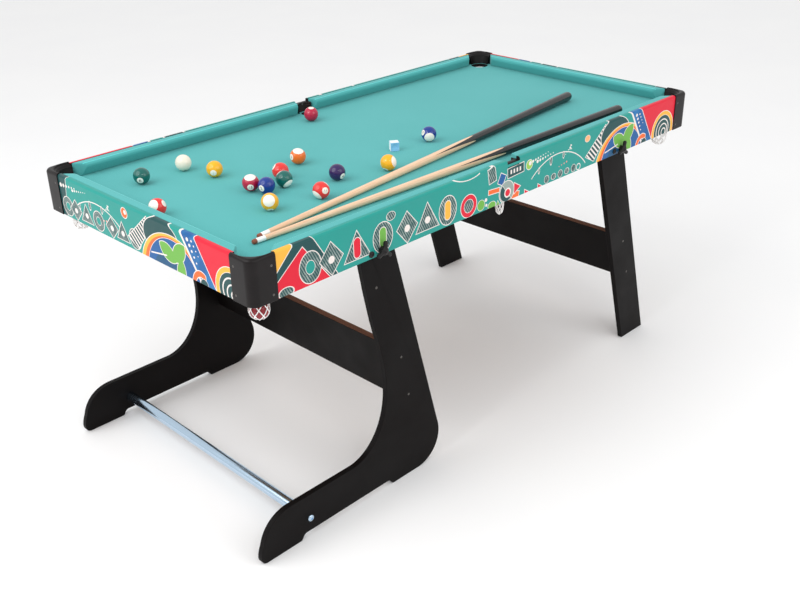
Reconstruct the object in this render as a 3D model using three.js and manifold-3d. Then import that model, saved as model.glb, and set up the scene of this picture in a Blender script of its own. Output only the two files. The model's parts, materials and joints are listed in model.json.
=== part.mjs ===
// Folding mini pool table with its balls, cues and chalk.
// Millimetres, +Z up. X runs along the table with the L-shaped feet at -X, and the front long side is at -Y.
// The parts are laid out round the centre of the playing bed. The finished group is then moved along X,
// so that its origin is the middle of its footprint on the floor.
import * as THREE from 'three';
import { mergeVertices } from 'three/addons/utils/BufferGeometryUtils.js';
import Module from 'manifold-3d';

const wasm = await Module();
wasm.setup();

// ---------- driving dimensions ----------
const LENGTH = 1520; // over the corner caps
const WIDTH = 760;
const RAIL_TOP = 697;
const APRON_BOTTOM = 601;
const GAP = 0.3; // between touching pieces
const OVERCUT = 1; // how far a cutting tool passes the face that it cuts

const CAP_SKIN = 2.2; // wall of the plastic corner caps
const CAP_REACH = 61; // along each side from the corner
const CAP_CORNER_RADIUS = 20;
const CAP_EDGE_RADIUS = 8; // round over of the cap's top outer edge
const CAP_TOP = RAIL_TOP + 2;
const LIP_BOTTOM = RAIL_TOP - 8;

const APRON_THICKNESS = 11;
const APRON_INSET = CAP_SKIN + GAP; // outer face of the apron behind the outer face of the cap
const APRON_END = 36; // from the corner to the end of the apron board
const APRON_EDGE_RADIUS = 8;
const INNER_INSET = APRON_INSET + APRON_THICKNESS;

const BED_THICKNESS = 9;
const BED_TOP = 664;
const CLOTH_THICKNESS = 0.6;
const CLOTH_TOP = BED_TOP + GAP + CLOTH_THICKNESS;
const GROOVE_DEPTH = 4; // the bed's edge sits in a groove in each apron
const BED_CHAMFER = 44.4; // corner cut off the bed, measured along each side from the corner

const CORNER_POCKET_INSET = 48.5; // pocket centre from both outer faces
const CORNER_POCKET_RADIUS = 26;
const SIDE_POCKET_INSET = 41;
const SIDE_POCKET_RADIUS = 20.5;
const SIDE_LINER = { half: 22.2, reach: 27, top: 690, flangeBottom: 680, wall: 2, backRadius: 10 };
const LINER_WALL = 2.2;
const CORNER_MOUTH = { lipRadius: 32, flare: 9.5 };

const CUSHION_WIDTH = 25;
const CUSHION_FOOT = 14; // width of the strip that meets the cloth
const NOSE_HEIGHT = 26.5; // top of the nose above the cloth
const NOSE_FACE = 5; // height of the flat front of the nose
const CUSHION_TOP = RAIL_TOP - 0.5;
const CORNER_CUSHION_END = 63; // rail side end of a cushion from the corner
const SIDE_CUSHION_END = 22.6; // rail side end of a cushion from the middle of the side pocket
const SIDE_CUSHION_SLOPE = 0.45; // how far that end slopes for each millimetre of the cushion's width

const LEG_THICKNESS = 14;
const LEG_OUTER_INSET = INNER_INSET + GAP;
const PIVOT_Z = 611;
const L_PIVOT_X = -455;
const STRAIGHT_PIVOT_X = 415;
const STRAIGHT_LEAN = THREE.MathUtils.degToRad(17);
const L_PANEL_LEAN = THREE.MathUtils.degToRad(11.3);
const KNOB_OFFSET_X = 28.5;
const KNOB_Z = 612;
const BOLT_RADIUS = 4;
const HOLE_RADIUS = 4.3;
const LEG_HOLE_RADIUS = 4.4;

const L_LEG = { top: 648, shoulder: 37, footTop: 108, arch: 14 };
const STRAIGHT_LEG = { top: 651, shoulder: 42.5, inner: 43, level: 105 };
const FOOT_TUBE = { x: -652, z: 48, radius: 12.5, bore: 11, plug: 18 };
const L_PANEL = { x: -353.5, z: 276, height: 150, lean: L_PANEL_LEAN };
const STRAIGHT_PANEL = { x: 531.6, z: 272.6, height: 146, lean: STRAIGHT_LEAN };
const PANEL_THICKNESS = 15;

const KNOB = { collar: 8.5, hub: 9.5, arm: 17, lobe: 5.2, turn: 0.19, armLow: 6, armHigh: 14, top: 17 };
const TUBE_BOLT_HEAD = { radius: 8, rim: 2, crown: 5.5 };
const PIVOT_BOLT_HEAD = { radius: 7, rim: 1.6, crown: 3.6 };
const PIVOT_NUT = { radius: 6.5, height: 7 };

const NET_WALL = 0.8;
const NET_NECK_Z = 650; // below this height a net draws in
const CORNER_NET_SIDES = 20;
const SIDE_NET_SIDES = 14;

const BALL_RADIUS = 19.05;
const CUE_LENGTH = 1210;
const CUE_TIP_RADIUS = 5.2;
const CUE_BUTT_RADIUS = 13;
const CHALK_SIZE = 21.5;
const CHALK_DISH = { radius: 22, depth: 2.5 };
const CHALK_TURN = -0.576;

const ROUND_SIDES = 24;
const SMALL_SIDES = 12; // for bolts, holes and other small round parts
const REST_GAP = 0.2; // extra room under a round piece that lies on the cloth
const POTTED_GAP = 0.7; // between the potted ball and the foot of its net

const halfLength = LENGTH / 2;
const halfWidth = WIDTH / 2;
const bedBottom = BED_TOP - BED_THICKNESS;

// ---------- finishes ----------
const finish = (color, roughness, metalness = 0) => ({ color, roughness, metalness });
const PRINTED_BOARD = finish(0x2a9d94, 0.45);
const CLOTH = finish(0x4fb0b2, 0.95);
const BOARD = finish(0x9a6f4c, 0.8);
const BLACK_PLASTIC = finish(0x24211f, 0.4);
const BLACK_BOARD = finish(0x161413, 0.6);
const NET = finish(0xf1efea, 0.9);
const CHROME = finish(0xc9ccd0, 0.12, 1);
const CUE_WOOD = finish(0xd9b383, 0.35);
const CHALK_BLUE = finish(0x3f9fd0, 0.9);

// ---------- helpers ----------
const table = new THREE.Group();

function add(name, geometry, look) {
  geometry.computeVertexNormals();
  const mesh = new THREE.Mesh(geometry, new THREE.MeshStandardMaterial(look));
  mesh.name = name;
  table.add(mesh);
  return mesh;
}

function toSolid(geometry) {
  const bare = geometry.clone();
  bare.deleteAttribute('normal');
  bare.deleteAttribute('uv');
  const merged = mergeVertices(bare, 1e-4);
  return new wasm.Manifold(new wasm.Mesh({
    numProp: 3,
    vertProperties: new Float32Array(merged.attributes.position.array),
    triVerts: new Uint32Array(merged.index.array),
  }));
}

function toGeometry(solid) {
  const mesh = solid.getMesh();
  const geometry = new THREE.BufferGeometry();
  geometry.setAttribute('position', new THREE.BufferAttribute(new Float32Array(mesh.vertProperties), 3));
  geometry.setIndex(new THREE.BufferAttribute(new Uint32Array(mesh.triVerts), 1));
  return geometry;
}

function box(x0, x1, y0, y1, z0, z1) {
  const geometry = new THREE.BoxGeometry(x1 - x0, y1 - y0, z1 - z0);
  return geometry.translate((x0 + x1) / 2, (y0 + y1) / 2, (z0 + z1) / 2);
}

function rodAlongY(x, z, radius, y0, y1, sides = ROUND_SIDES) {
  const geometry = new THREE.CylinderGeometry(radius, radius, y1 - y0, sides);
  return geometry.translate(x, (y0 + y1) / 2, z);
}

// A plan outline given in X and Y, raised from z0 to z1.
function prism(shape, z0, z1, curveSegments = 12) {
  const geometry = new THREE.ExtrudeGeometry(shape, { depth: z1 - z0, bevelEnabled: false, curveSegments });
  return geometry.translate(0, 0, z0);
}

// An outline given in X and Z, with its thickness along Y.
function plate(shape, y0, y1, curveSegments = 12) {
  const geometry = new THREE.ExtrudeGeometry(shape, { depth: y1 - y0, bevelEnabled: false, curveSegments });
  return geometry.rotateX(Math.PI / 2).translate(0, y1, 0);
}

// An outline given in Y and Z, with its length along X.
function bar(shape, x0, x1, curveSegments = 6) {
  const geometry = new THREE.ExtrudeGeometry(shape, { depth: x1 - x0, bevelEnabled: false, curveSegments });
  const turn = new THREE.Matrix4().makeBasis(
    new THREE.Vector3(0, 1, 0),
    new THREE.Vector3(0, 0, 1),
    new THREE.Vector3(1, 0, 0),
  );
  return geometry.applyMatrix4(turn).translate(x0, 0, 0);
}

function polygon(points) {
  return new THREE.Shape(points.map(([x, y]) => new THREE.Vector2(x, y)));
}

// A turned body about +Z. The profile lists radius and height, and starts and ends on the axis.
function turned(profile, sides = ROUND_SIDES) {
  const geometry = new THREE.LatheGeometry(profile.map(([r, z]) => new THREE.Vector2(r, z)), sides);
  return geometry.rotateX(Math.PI / 2);
}

function cut(geometry, ...tools) {
  let solid = toSolid(geometry);
  for (const tool of tools) {
    solid = solid.subtract(toSolid(tool));
  }
  return toGeometry(solid);
}

// ---------- aprons ----------
// Section of an apron board: depth from its outer face inwards, and height.
function apronSection() {
  const r = APRON_EDGE_RADIUS;
  const shape = new THREE.Shape();
  shape.moveTo(0, APRON_BOTTOM);
  shape.lineTo(APRON_THICKNESS, APRON_BOTTOM);
  shape.lineTo(APRON_THICKNESS, bedBottom - GAP);
  shape.lineTo(APRON_THICKNESS - GROOVE_DEPTH, bedBottom - GAP);
  shape.lineTo(APRON_THICKNESS - GROOVE_DEPTH, BED_TOP + GAP);
  shape.lineTo(APRON_THICKNESS, BED_TOP + GAP);
  shape.lineTo(APRON_THICKNESS, RAIL_TOP);
  shape.lineTo(r, RAIL_TOP);
  shape.absarc(r, RAIL_TOP - r, r, Math.PI / 2, Math.PI, false);
  shape.closePath();
  return shape;
}

// An apron along X whose outer face looks towards -Y. The ends are cut down for the cap's lip.
function apronBoard(length, tools) {
  const half = length / 2 - APRON_END;
  const board = bar(apronSection(), -half, half);
  const lipLength = CAP_REACH - APRON_END + GAP;
  const deep = APRON_THICKNESS + OVERCUT;
  const rebates = [-1, 1].map((side) => {
    const end = side * (half + OVERCUT);
    const start = side * (half - lipLength);
    const low = Math.min(end, start);
    const high = Math.max(end, start);
    return box(low, high, -OVERCUT, deep, LIP_BOTTOM - GAP, RAIL_TOP + OVERCUT);
  });
  return cut(board, ...rebates, ...tools);
}

function longApron(name, side) {
  const deep = APRON_THICKNESS + OVERCUT;
  const notchHalf = SIDE_LINER.half + GAP;
  const notchLow = SIDE_LINER.flangeBottom - GAP;
  const notch = box(-notchHalf, notchHalf, -OVERCUT, deep, notchLow, RAIL_TOP + OVERCUT);
  const holes = [L_PIVOT_X, STRAIGHT_PIVOT_X].flatMap((x) => [
    rodAlongY(-side * x, PIVOT_Z, HOLE_RADIUS, -OVERCUT, deep, SMALL_SIDES),
    rodAlongY(-side * (x + KNOB_OFFSET_X), KNOB_Z, HOLE_RADIUS, -OVERCUT, deep, SMALL_SIDES),
  ]);
  const apron = add(name, apronBoard(LENGTH, [notch, ...holes]), PRINTED_BOARD);
  apron.rotation.z = side > 0 ? Math.PI : 0;
  apron.position.y = side * (halfWidth - APRON_INSET);
}

function endApron(name, side) {
  const apron = add(name, apronBoard(WIDTH, []), PRINTED_BOARD);
  apron.rotation.z = side * Math.PI / 2;
  apron.position.x = side * (halfLength - APRON_INSET);
}

// ---------- bed ----------
function bedOutline(inset, chamfer) {
  const x = halfLength - inset;
  const y = halfWidth - inset;
  const c = chamfer - inset;
  return polygon([
    [-x + c, -y], [x - c, -y], [x, -y + c], [x, y - c],
    [x - c, y], [-x + c, y], [-x, y - c], [-x, -y + c],
  ]);
}

function pocketCentres() {
  const x = halfLength - CORNER_POCKET_INSET;
  const y = halfWidth - CORNER_POCKET_INSET;
  const corners = [-1, 1].flatMap((sx) => [-1, 1].map((sy) => (
    { x: sx * x, y: sy * y, radius: CORNER_POCKET_RADIUS })));
  const sides = [-1, 1].map((sy) => (
    { x: 0, y: sy * (halfWidth - SIDE_POCKET_INSET), radius: SIDE_POCKET_RADIUS }));
  return [...corners, ...sides];
}

function bedSheet(name, inset, chamfer, z0, z1, look) {
  const outline = bedOutline(inset, chamfer);
  for (const pocket of pocketCentres()) {
    const hole = new THREE.Path();
    hole.absarc(pocket.x, pocket.y, pocket.radius, 0, 2 * Math.PI, true);
    outline.holes.push(hole);
  }
  add(name, prism(outline, z0, z1), look);
}

// ---------- cushions ----------
// Section from the apron's inner face towards the nose, and height.
function cushionSection() {
  const bottom = CLOTH_TOP + GAP;
  const nose = CLOTH_TOP + NOSE_HEIGHT;
  return polygon([
    [0, bottom], [CUSHION_FOOT, bottom], [CUSHION_WIDTH, nose - NOSE_FACE],
    [CUSHION_WIDTH, nose], [CUSHION_WIDTH - NOSE_FACE, CUSHION_TOP], [0, CUSHION_TOP],
  ]);
}

// A cushion along X that faces +Y, cut at both ends: x at the rail side, then x at the nose.
function cushionBody(railStart, railEnd, noseStart, noseEnd) {
  const long = bar(cushionSection(), railStart, railEnd);
  const plan = polygon([
    [railStart, -OVERCUT], [railEnd, -OVERCUT], [railEnd, 0],
    [noseEnd, CUSHION_WIDTH], [noseEnd, CUSHION_WIDTH + OVERCUT],
    [noseStart, CUSHION_WIDTH + OVERCUT], [noseStart, CUSHION_WIDTH], [railStart, 0],
  ]);
  const block = prism(plan, CLOTH_TOP - OVERCUT, RAIL_TOP + OVERCUT);
  return toGeometry(toSolid(long).intersect(toSolid(block)));
}

function longCushion(name, side, end) {
  const cornerRail = halfLength - CORNER_CUSHION_END;
  const cornerNose = cornerRail - CUSHION_WIDTH;
  const pocketNose = SIDE_CUSHION_END + CUSHION_WIDTH * SIDE_CUSHION_SLOPE;
  const towardsPlusX = side < 0 ? end > 0 : end < 0;
  const body = towardsPlusX
    ? cushionBody(SIDE_CUSHION_END, cornerRail, pocketNose, cornerNose)
    : cushionBody(-cornerRail, -SIDE_CUSHION_END, -cornerNose, -pocketNose);
  const cushion = add(name, body, CLOTH);
  cushion.rotation.z = side > 0 ? Math.PI : 0;
  cushion.position.y = side * (halfWidth - INNER_INSET - GAP);
}

function endCushion(name, side) {
  const rail = halfWidth - CORNER_CUSHION_END;
  const nose = rail - CUSHION_WIDTH;
  const cushion = add(name, cushionBody(-rail, rail, -nose, nose), CLOTH);
  cushion.rotation.z = side * Math.PI / 2;
  cushion.position.x = side * (halfLength - INNER_INSET - GAP);
}

// ---------- corner caps and side liners ----------
// Drawn at the corner itself, with both sides running along +X and +Y.
function capOutline(inset, reach) {
  const r = CAP_CORNER_RADIUS;
  const shape = new THREE.Shape();
  shape.moveTo(reach, inset);
  shape.lineTo(reach, reach);
  shape.lineTo(inset, reach);
  shape.lineTo(inset, r);
  shape.absarc(r, r, r - inset, Math.PI, 1.5 * Math.PI, false);
  shape.closePath();
  return shape;
}

// The funnel of a pocket: a turned ring wall from the cloth up to the lip, and the hole inside it.
function funnel(x, y, low, { lipRadius: high, flare }) {
  const bottom = CLOTH_TOP + GAP;
  const hole = turned([
    [0, bottom - OVERCUT], [low, bottom - OVERCUT], [low, bottom], [high, LIP_BOTTOM],
    [high + flare, CAP_TOP], [high + flare, CAP_TOP + OVERCUT], [0, CAP_TOP + OVERCUT],
  ]).translate(x, y, 0);
  const wall = turned([
    [0, bottom], [low + LINER_WALL, bottom], [high + LINER_WALL, LIP_BOTTOM],
    [high + LINER_WALL, LIP_BOTTOM + OVERCUT], [0, LIP_BOTTOM + OVERCUT],
  ]).translate(x, y, 0);
  return { hole: toSolid(hole), wall: toSolid(wall) };
}

// The outer shape of a cap as one convex block, from the given height up to its rounded top edge.
function capBlock(bottom) {
  const steps = 5;
  const slices = [toSolid(prism(capOutline(0, CAP_REACH), bottom, bottom + 0.1))];
  for (let i = 0; i <= steps; i += 1) {
    const angle = (i / steps) * (Math.PI / 2);
    const inset = CAP_EDGE_RADIUS * (1 - Math.cos(angle));
    const z = CAP_TOP - CAP_EDGE_RADIUS * (1 - Math.sin(angle));
    slices.push(toSolid(prism(capOutline(inset, CAP_REACH), z - 0.1, z)));
  }
  return wasm.Manifold.hull(slices);
}

function cornerCap() {
  const inner = CORNER_POCKET_INSET;
  const { hole, wall } = funnel(inner, inner, CORNER_POCKET_RADIUS, CORNER_MOUTH);
  const block = capBlock(APRON_BOTTOM);
  const withinOutline = capOutline(CAP_SKIN, CAP_REACH + OVERCUT);
  const within = toSolid(prism(withinOutline, APRON_BOTTOM - OVERCUT, LIP_BOTTOM));
  const lip = block.intersect(toSolid(box(-OVERCUT, CAP_REACH, -OVERCUT, CAP_REACH, LIP_BOTTOM, CAP_TOP)));
  return toGeometry(block.subtract(within).subtract(lip).add(lip.add(wall.intersect(block)).subtract(hole)));
}

// A side liner: a wall round the outer half of the pocket, and a flange over the notch in the apron.
function sideLiner() {
  const { half, reach, top, flangeBottom, wall, backRadius } = SIDE_LINER;
  const bottom = CLOTH_TOP + GAP;
  const back = INNER_INSET + GAP;
  const r = APRON_EDGE_RADIUS;
  const section = new THREE.Shape();
  section.moveTo(APRON_INSET, flangeBottom);
  section.lineTo(reach, flangeBottom);
  section.lineTo(reach, top);
  section.lineTo(APRON_INSET + r, top);
  section.absarc(APRON_INSET + r, top - r, r, Math.PI / 2, Math.PI, false);
  section.closePath();
  const flange = toSolid(bar(section, -half, half));
  const shell = toSolid(box(-half, half, back, reach, bottom, flangeBottom + OVERCUT));
  const inner = half - wall;
  const deep = back + wall;
  const mouth = new THREE.Shape();
  mouth.moveTo(-inner, reach + OVERCUT);
  mouth.lineTo(-inner, deep + backRadius);
  mouth.absarc(-inner + backRadius, deep + backRadius, backRadius, Math.PI, 1.5 * Math.PI, false);
  mouth.absarc(inner - backRadius, deep + backRadius, backRadius, 1.5 * Math.PI, 2 * Math.PI, false);
  mouth.lineTo(inner, reach + OVERCUT);
  mouth.closePath();
  return toGeometry(flange.add(shell).subtract(toSolid(prism(mouth, bottom - OVERCUT, top + OVERCUT))));
}

// ---------- nets ----------
// A net bag hangs from the underside of the bed.
// Its profile lists radius and height from the rim to the foot.
const NET_TOP = bedBottom - GAP;
const CORNER_NET = [
  [24.5, NET_TOP], [24.5, NET_NECK_Z], [22.5, 622], [20.3, 592],
  [20.3, 565], [17, 555.5], [10, 549.2], [0, 547.2],
];
const SIDE_NET = [
  [21, NET_TOP], [21, NET_NECK_Z], [15, 624], [10.5, 600], [9.3, 568], [7, 556], [0, 550.5],
];

function net(name, pocket, profile, sides) {
  const rimRadius = profile[0][0];
  const inside = profile.map(([r, z], i) => {
    const rim = i === 0;
    const foot = i === profile.length - 1;
    return [foot ? 0 : r - NET_WALL, rim ? z : z + NET_WALL * (1 - r / rimRadius)];
  });
  const bag = add(name, turned([...profile.slice().reverse(), ...inside], sides), NET);
  bag.position.set(pocket.x, pocket.y, 0);
}

// ---------- L-shaped leg frame ----------
// Side view in X and Z: a column that leans outwards below the pivot, and a long foot with two pads.
function lLegOutline() {
  const { top, shoulder, footTop, arch } = L_LEG;
  const shape = new THREE.Shape();
  shape.moveTo(-391, top);
  shape.lineTo(L_PIVOT_X, top);
  shape.absarc(L_PIVOT_X, PIVOT_Z, shoulder, Math.PI / 2, Math.PI * 0.77, false);
  shape.lineTo(-461, 518);
  shape.lineTo(-446, 448);
  shape.bezierCurveTo(-432, 392, -411, 330, -411, 262);
  shape.bezierCurveTo(-411, 178, -455, 112, -520, footTop);
  shape.lineTo(-700, footTop);
  shape.bezierCurveTo(-742, 107, -770, 82, -780, 45);
  shape.bezierCurveTo(-790, 22, -794, 0, -770, 0);
  shape.lineTo(-682, 0);
  shape.bezierCurveTo(-674, 0, -674, arch, -664, arch);
  shape.lineTo(-414, arch);
  shape.bezierCurveTo(-404, arch, -404, 0, -396, 0);
  shape.lineTo(-312, 0);
  shape.bezierCurveTo(-262, 2, -226, 50, -247, footTop);
  shape.closePath();
  shape.holes.push(boltHole(L_PIVOT_X, PIVOT_Z), boltHole(FOOT_TUBE.x, FOOT_TUBE.z));
  return shape;
}

function boltHole(x, z) {
  const hole = new THREE.Path();
  hole.absarc(x, z, LEG_HOLE_RADIUS, 0, 2 * Math.PI, true);
  return hole;
}

function legSpan(side) {
  const outer = side * (halfWidth - LEG_OUTER_INSET);
  const inner = outer - side * LEG_THICKNESS;
  return [Math.min(outer, inner), Math.max(outer, inner)];
}

const betweenLegs = halfWidth - LEG_OUTER_INSET - LEG_THICKNESS - GAP;

function crossPanel(name, { x, z, height, lean }) {
  const panel = add(name, new THREE.BoxGeometry(PANEL_THICKNESS, 2 * betweenLegs, height), BLACK_BOARD);
  panel.rotation.y = -lean;
  panel.position.set(x, 0, z);
}

function footTube() {
  const { x, z, radius, bore } = FOOT_TUBE;
  const end = betweenLegs;
  const tube = rodAlongY(x, z, radius, -end, end);
  add('foot_tube', cut(tube, rodAlongY(x, z, bore, -end - OVERCUT, end + OVERCUT)), CHROME);
}

// A turned piece whose axis runs outwards along Y on the given side; heights are distances from y = 0.
function turnedOutwards(name, x, z, side, profile, look) {
  const piece = add(name, turned(profile, SMALL_SIDES), look);
  piece.rotation.x = side > 0 ? -Math.PI / 2 : Math.PI / 2;
  piece.position.set(x, 0, z);
}

// The bolt that closes one end of the foot tube, with its plug inside the tube.
function tubeBolt(name, side) {
  const face = halfWidth - LEG_OUTER_INSET + GAP;
  const plugRadius = FOOT_TUBE.bore * Math.cos(Math.PI / ROUND_SIDES) - GAP;
  const { radius, rim, crown } = TUBE_BOLT_HEAD;
  turnedOutwards(name, FOOT_TUBE.x, FOOT_TUBE.z, side, [
    [0, betweenLegs - FOOT_TUBE.plug], [plugRadius, betweenLegs - FOOT_TUBE.plug],
    [plugRadius, betweenLegs], [BOLT_RADIUS, betweenLegs], [BOLT_RADIUS, face],
    [radius, face], [radius, face + rim], [radius * 0.7, face + crown - 0.5], [0, face + crown],
  ], CHROME);
}

// The bolt that a leg folds on, with its nut on the inside of the leg.
function pivotBolt(name, x, side) {
  const face = halfWidth - APRON_INSET + GAP;
  const { radius, rim, crown } = PIVOT_BOLT_HEAD;
  turnedOutwards(name, x, PIVOT_Z, side, [
    [0, betweenLegs - PIVOT_NUT.height], [PIVOT_NUT.radius, betweenLegs - PIVOT_NUT.height],
    [PIVOT_NUT.radius, betweenLegs], [BOLT_RADIUS, betweenLegs], [BOLT_RADIUS, face],
    [radius, face], [radius, face + rim], [radius * 0.7, face + crown - 0.4], [0, face + crown],
  ], BLACK_PLASTIC);
}

// ---------- straight leg frame ----------
// Side view in X and Z: a leaning board with a level foot, rounded at the top about the pivot.
function straightLegOutline() {
  const { top, shoulder, inner, level } = STRAIGHT_LEG;
  const slope = Math.tan(STRAIGHT_LEAN);
  const innerEdge = (z) => STRAIGHT_PIVOT_X - inner / Math.cos(STRAIGHT_LEAN) + (PIVOT_Z - z) * slope;
  const rise = top - PIVOT_Z;
  const reach = Math.sqrt(shoulder ** 2 - rise ** 2);
  const shape = new THREE.Shape();
  shape.moveTo(innerEdge(0), 0);
  shape.lineTo(innerEdge(0) + level, 0);
  shape.lineTo(innerEdge(top) + level, top);
  shape.lineTo(STRAIGHT_PIVOT_X + reach, top);
  shape.absarc(STRAIGHT_PIVOT_X, PIVOT_Z, shoulder, Math.atan2(rise, reach), Math.PI + STRAIGHT_LEAN, false);
  shape.closePath();
  shape.holes.push(boltHole(STRAIGHT_PIVOT_X, PIVOT_Z));
  return shape;
}

// ---------- lock knobs ----------
// One arm of the knob with the round lobe at its end, drawn outwards along +Z.
function knobArm(face, angle) {
  const low = face + KNOB.armLow;
  const high = face + KNOB.armHigh;
  const middle = (low + high) / 2;
  const lobe = new THREE.CylinderGeometry(KNOB.lobe, KNOB.lobe, high - low, SMALL_SIDES);
  lobe.rotateX(Math.PI / 2).translate(0, KNOB.arm, middle).rotateZ(-angle);
  const arm = new THREE.BoxGeometry(KNOB.lobe * 1.5, KNOB.arm, high - low - 2);
  arm.translate(0, KNOB.arm / 2, middle).rotateZ(-angle);
  return toSolid(lobe).add(toSolid(arm));
}

// A three-armed hand knob. Its stud passes through the apron and stops just short of the leg.
function lockKnob(name, x, side) {
  const face = halfWidth - APRON_INSET + GAP;
  const stud = halfWidth - LEG_OUTER_INSET + GAP;
  const hub = turned([
    [0, stud], [BOLT_RADIUS, stud], [BOLT_RADIUS, face], [KNOB.collar, face], [KNOB.hub, face + KNOB.armLow],
    [KNOB.hub, face + KNOB.armHigh], [KNOB.collar, face + KNOB.top], [0, face + KNOB.top],
  ], SMALL_SIDES);
  let body = toSolid(hub);
  for (let i = 0; i < 3; i += 1) {
    body = body.add(knobArm(face, KNOB.turn + (i * 2 * Math.PI) / 3));
  }
  const knob = add(name, toGeometry(body), BLACK_PLASTIC);
  knob.rotation.x = side > 0 ? -Math.PI / 2 : Math.PI / 2;
  knob.position.set(x + KNOB_OFFSET_X, 0, KNOB_Z);
}

// ---------- balls, cues and chalk ----------
// Where each ball lies on the cloth, in play.
const BALLS = [
  { name: 'cue_ball', x: -501, y: 204, color: 0xf3ead6 },
  { name: 'ball_1', x: -478, y: 113, color: 0xf0a818 },
  { name: 'ball_2', x: -466, y: -61.5, color: 0x23408e },
  { name: 'ball_3', x: -385, y: -10.5, color: 0xd8202e },
  { name: 'ball_4', x: -305, y: -114, color: 0x35204f },
  { name: 'ball_13', x: -292, y: 38, color: 0xef6a20 },
  { name: 'ball_6', x: -617, y: 199, color: 0x11594a },
  { name: 'ball_7', x: -43, y: 278, color: 0xb51f3f },
  { name: 'ball_9', x: -523, y: -144, color: 0xf3b21c },
  { name: 'ball_10', x: 38, y: -77, color: 0x23408e },
  { name: 'ball_11', x: -405, y: -173, color: 0xd8202e },
  { name: 'ball_9_spare', x: -181.5, y: -154, color: 0xf3b21c },
  { name: 'ball_14', x: -413.5, y: -58.5, color: 0x14675a },
  { name: 'ball_15', x: -479, y: -22, color: 0xb3163a },
  { name: 'ball_11_spare', x: -700, y: 8, color: 0xd8202e },
];
const ballRest = CLOTH_TOP + GAP + BALL_RADIUS;
const pottedRest = CORNER_NET[CORNER_NET.length - 1][1] + NET_WALL + POTTED_GAP + BALL_RADIUS;

// Turned so that one of its points is at the very top and one at the very foot.
function ball(name, x, y, z, color) {
  const round = new THREE.IcosahedronGeometry(BALL_RADIUS, 2).rotateX(Math.atan(2 / (1 + Math.sqrt(5))));
  const mesh = add(name, round, finish(color, 0.08));
  mesh.position.set(x, y, z);
}

// A cue lies on the cloth with its tip at one end and its thicker butt at the other.
function cue(name, tip, butt) {
  const profile = [
    [0, 0], [CUE_TIP_RADIUS - 1.2, 0], [CUE_TIP_RADIUS, 3],
    [CUE_BUTT_RADIUS, CUE_LENGTH - 14], [CUE_BUTT_RADIUS - 3, CUE_LENGTH - 3], [0, CUE_LENGTH],
  ];
  const start = new THREE.Vector3(tip.x, tip.y, CLOTH_TOP + GAP + CUE_TIP_RADIUS + REST_GAP);
  const end = new THREE.Vector3(butt.x, butt.y, CLOTH_TOP + GAP + CUE_BUTT_RADIUS + REST_GAP);
  const mesh = add(name, turned(profile, 16), CUE_WOOD);
  mesh.quaternion.setFromUnitVectors(new THREE.Vector3(0, 0, 1), end.clone().sub(start).normalize());
  mesh.position.copy(start);
}

// The chalk lies on its side, so that its dished face looks sideways.
function chalkCube() {
  const half = CHALK_SIZE / 2;
  const { radius, depth } = CHALK_DISH;
  const dish = new THREE.SphereGeometry(radius, 16, 12).translate(0, depth - half - radius, 0);
  const cube = new THREE.BoxGeometry(CHALK_SIZE, CHALK_SIZE, CHALK_SIZE);
  const chalk = add('chalk_cube', cut(cube, dish), CHALK_BLUE);
  chalk.rotation.z = CHALK_TURN;
  chalk.position.set(-68, -60, CLOTH_TOP + GAP + half);
}

// ---------- assembly ----------
longApron('apron_front', -1);
longApron('apron_back', 1);
endApron('apron_left', -1);
endApron('apron_right', 1);
bedSheet('bed_panel', INNER_INSET - GROOVE_DEPTH + GAP, BED_CHAMFER, bedBottom, BED_TOP, BOARD);
bedSheet('bed_cloth', INNER_INSET + GAP, BED_CHAMFER, BED_TOP + GAP, CLOTH_TOP, CLOTH);

for (const [front, side] of [['front', -1], ['back', 1]]) {
  longCushion(`cushion_${front}_left`, side, -1);
  longCushion(`cushion_${front}_right`, side, 1);
}
endCushion('cushion_left', -1);
endCushion('cushion_right', 1);

const CORNERS = [
  { name: 'front_left', sx: -1, sy: -1, turn: 0 },
  { name: 'front_right', sx: 1, sy: -1, turn: Math.PI / 2 },
  { name: 'back_right', sx: 1, sy: 1, turn: Math.PI },
  { name: 'back_left', sx: -1, sy: 1, turn: -Math.PI / 2 },
];
for (const corner of CORNERS) {
  const cap = add(`corner_cap_${corner.name}`, cornerCap(), BLACK_PLASTIC);
  cap.rotation.z = corner.turn;
  cap.position.set(corner.sx * halfLength, corner.sy * halfWidth, 0);
  const pocket = {
    x: corner.sx * (halfLength - CORNER_POCKET_INSET),
    y: corner.sy * (halfWidth - CORNER_POCKET_INSET),
  };
  net(`net_${corner.name}`, pocket, CORNER_NET, CORNER_NET_SIDES);
}
for (const [name, side] of [['front', -1], ['back', 1]]) {
  const liner = add(`side_pocket_liner_${name}`, sideLiner(), BLACK_PLASTIC);
  liner.rotation.z = side > 0 ? Math.PI : 0;
  liner.position.y = side * halfWidth;
  const pocket = { x: 0, y: side * (halfWidth - SIDE_POCKET_INSET) };
  net(`net_${name}_middle`, pocket, SIDE_NET, SIDE_NET_SIDES);
}

for (const [name, side] of [['front', -1], ['back', 1]]) {
  const [y0, y1] = legSpan(side);
  add(`l_leg_${name}`, plate(lLegOutline(), y0, y1), BLACK_BOARD);
  add(`straight_leg_${name}`, plate(straightLegOutline(), y0, y1), BLACK_BOARD);
  tubeBolt(`foot_tube_bolt_${name}`, side);
  pivotBolt(`pivot_bolt_${name}_left`, L_PIVOT_X, side);
  pivotBolt(`pivot_bolt_${name}_right`, STRAIGHT_PIVOT_X, side);
  lockKnob(`lock_knob_${name}_left`, L_PIVOT_X, side);
  lockKnob(`lock_knob_${name}_right`, STRAIGHT_PIVOT_X, side);
}
crossPanel('l_leg_cross_panel', L_PANEL);
crossPanel('straight_leg_cross_panel', STRAIGHT_PANEL);
footTube();

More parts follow.
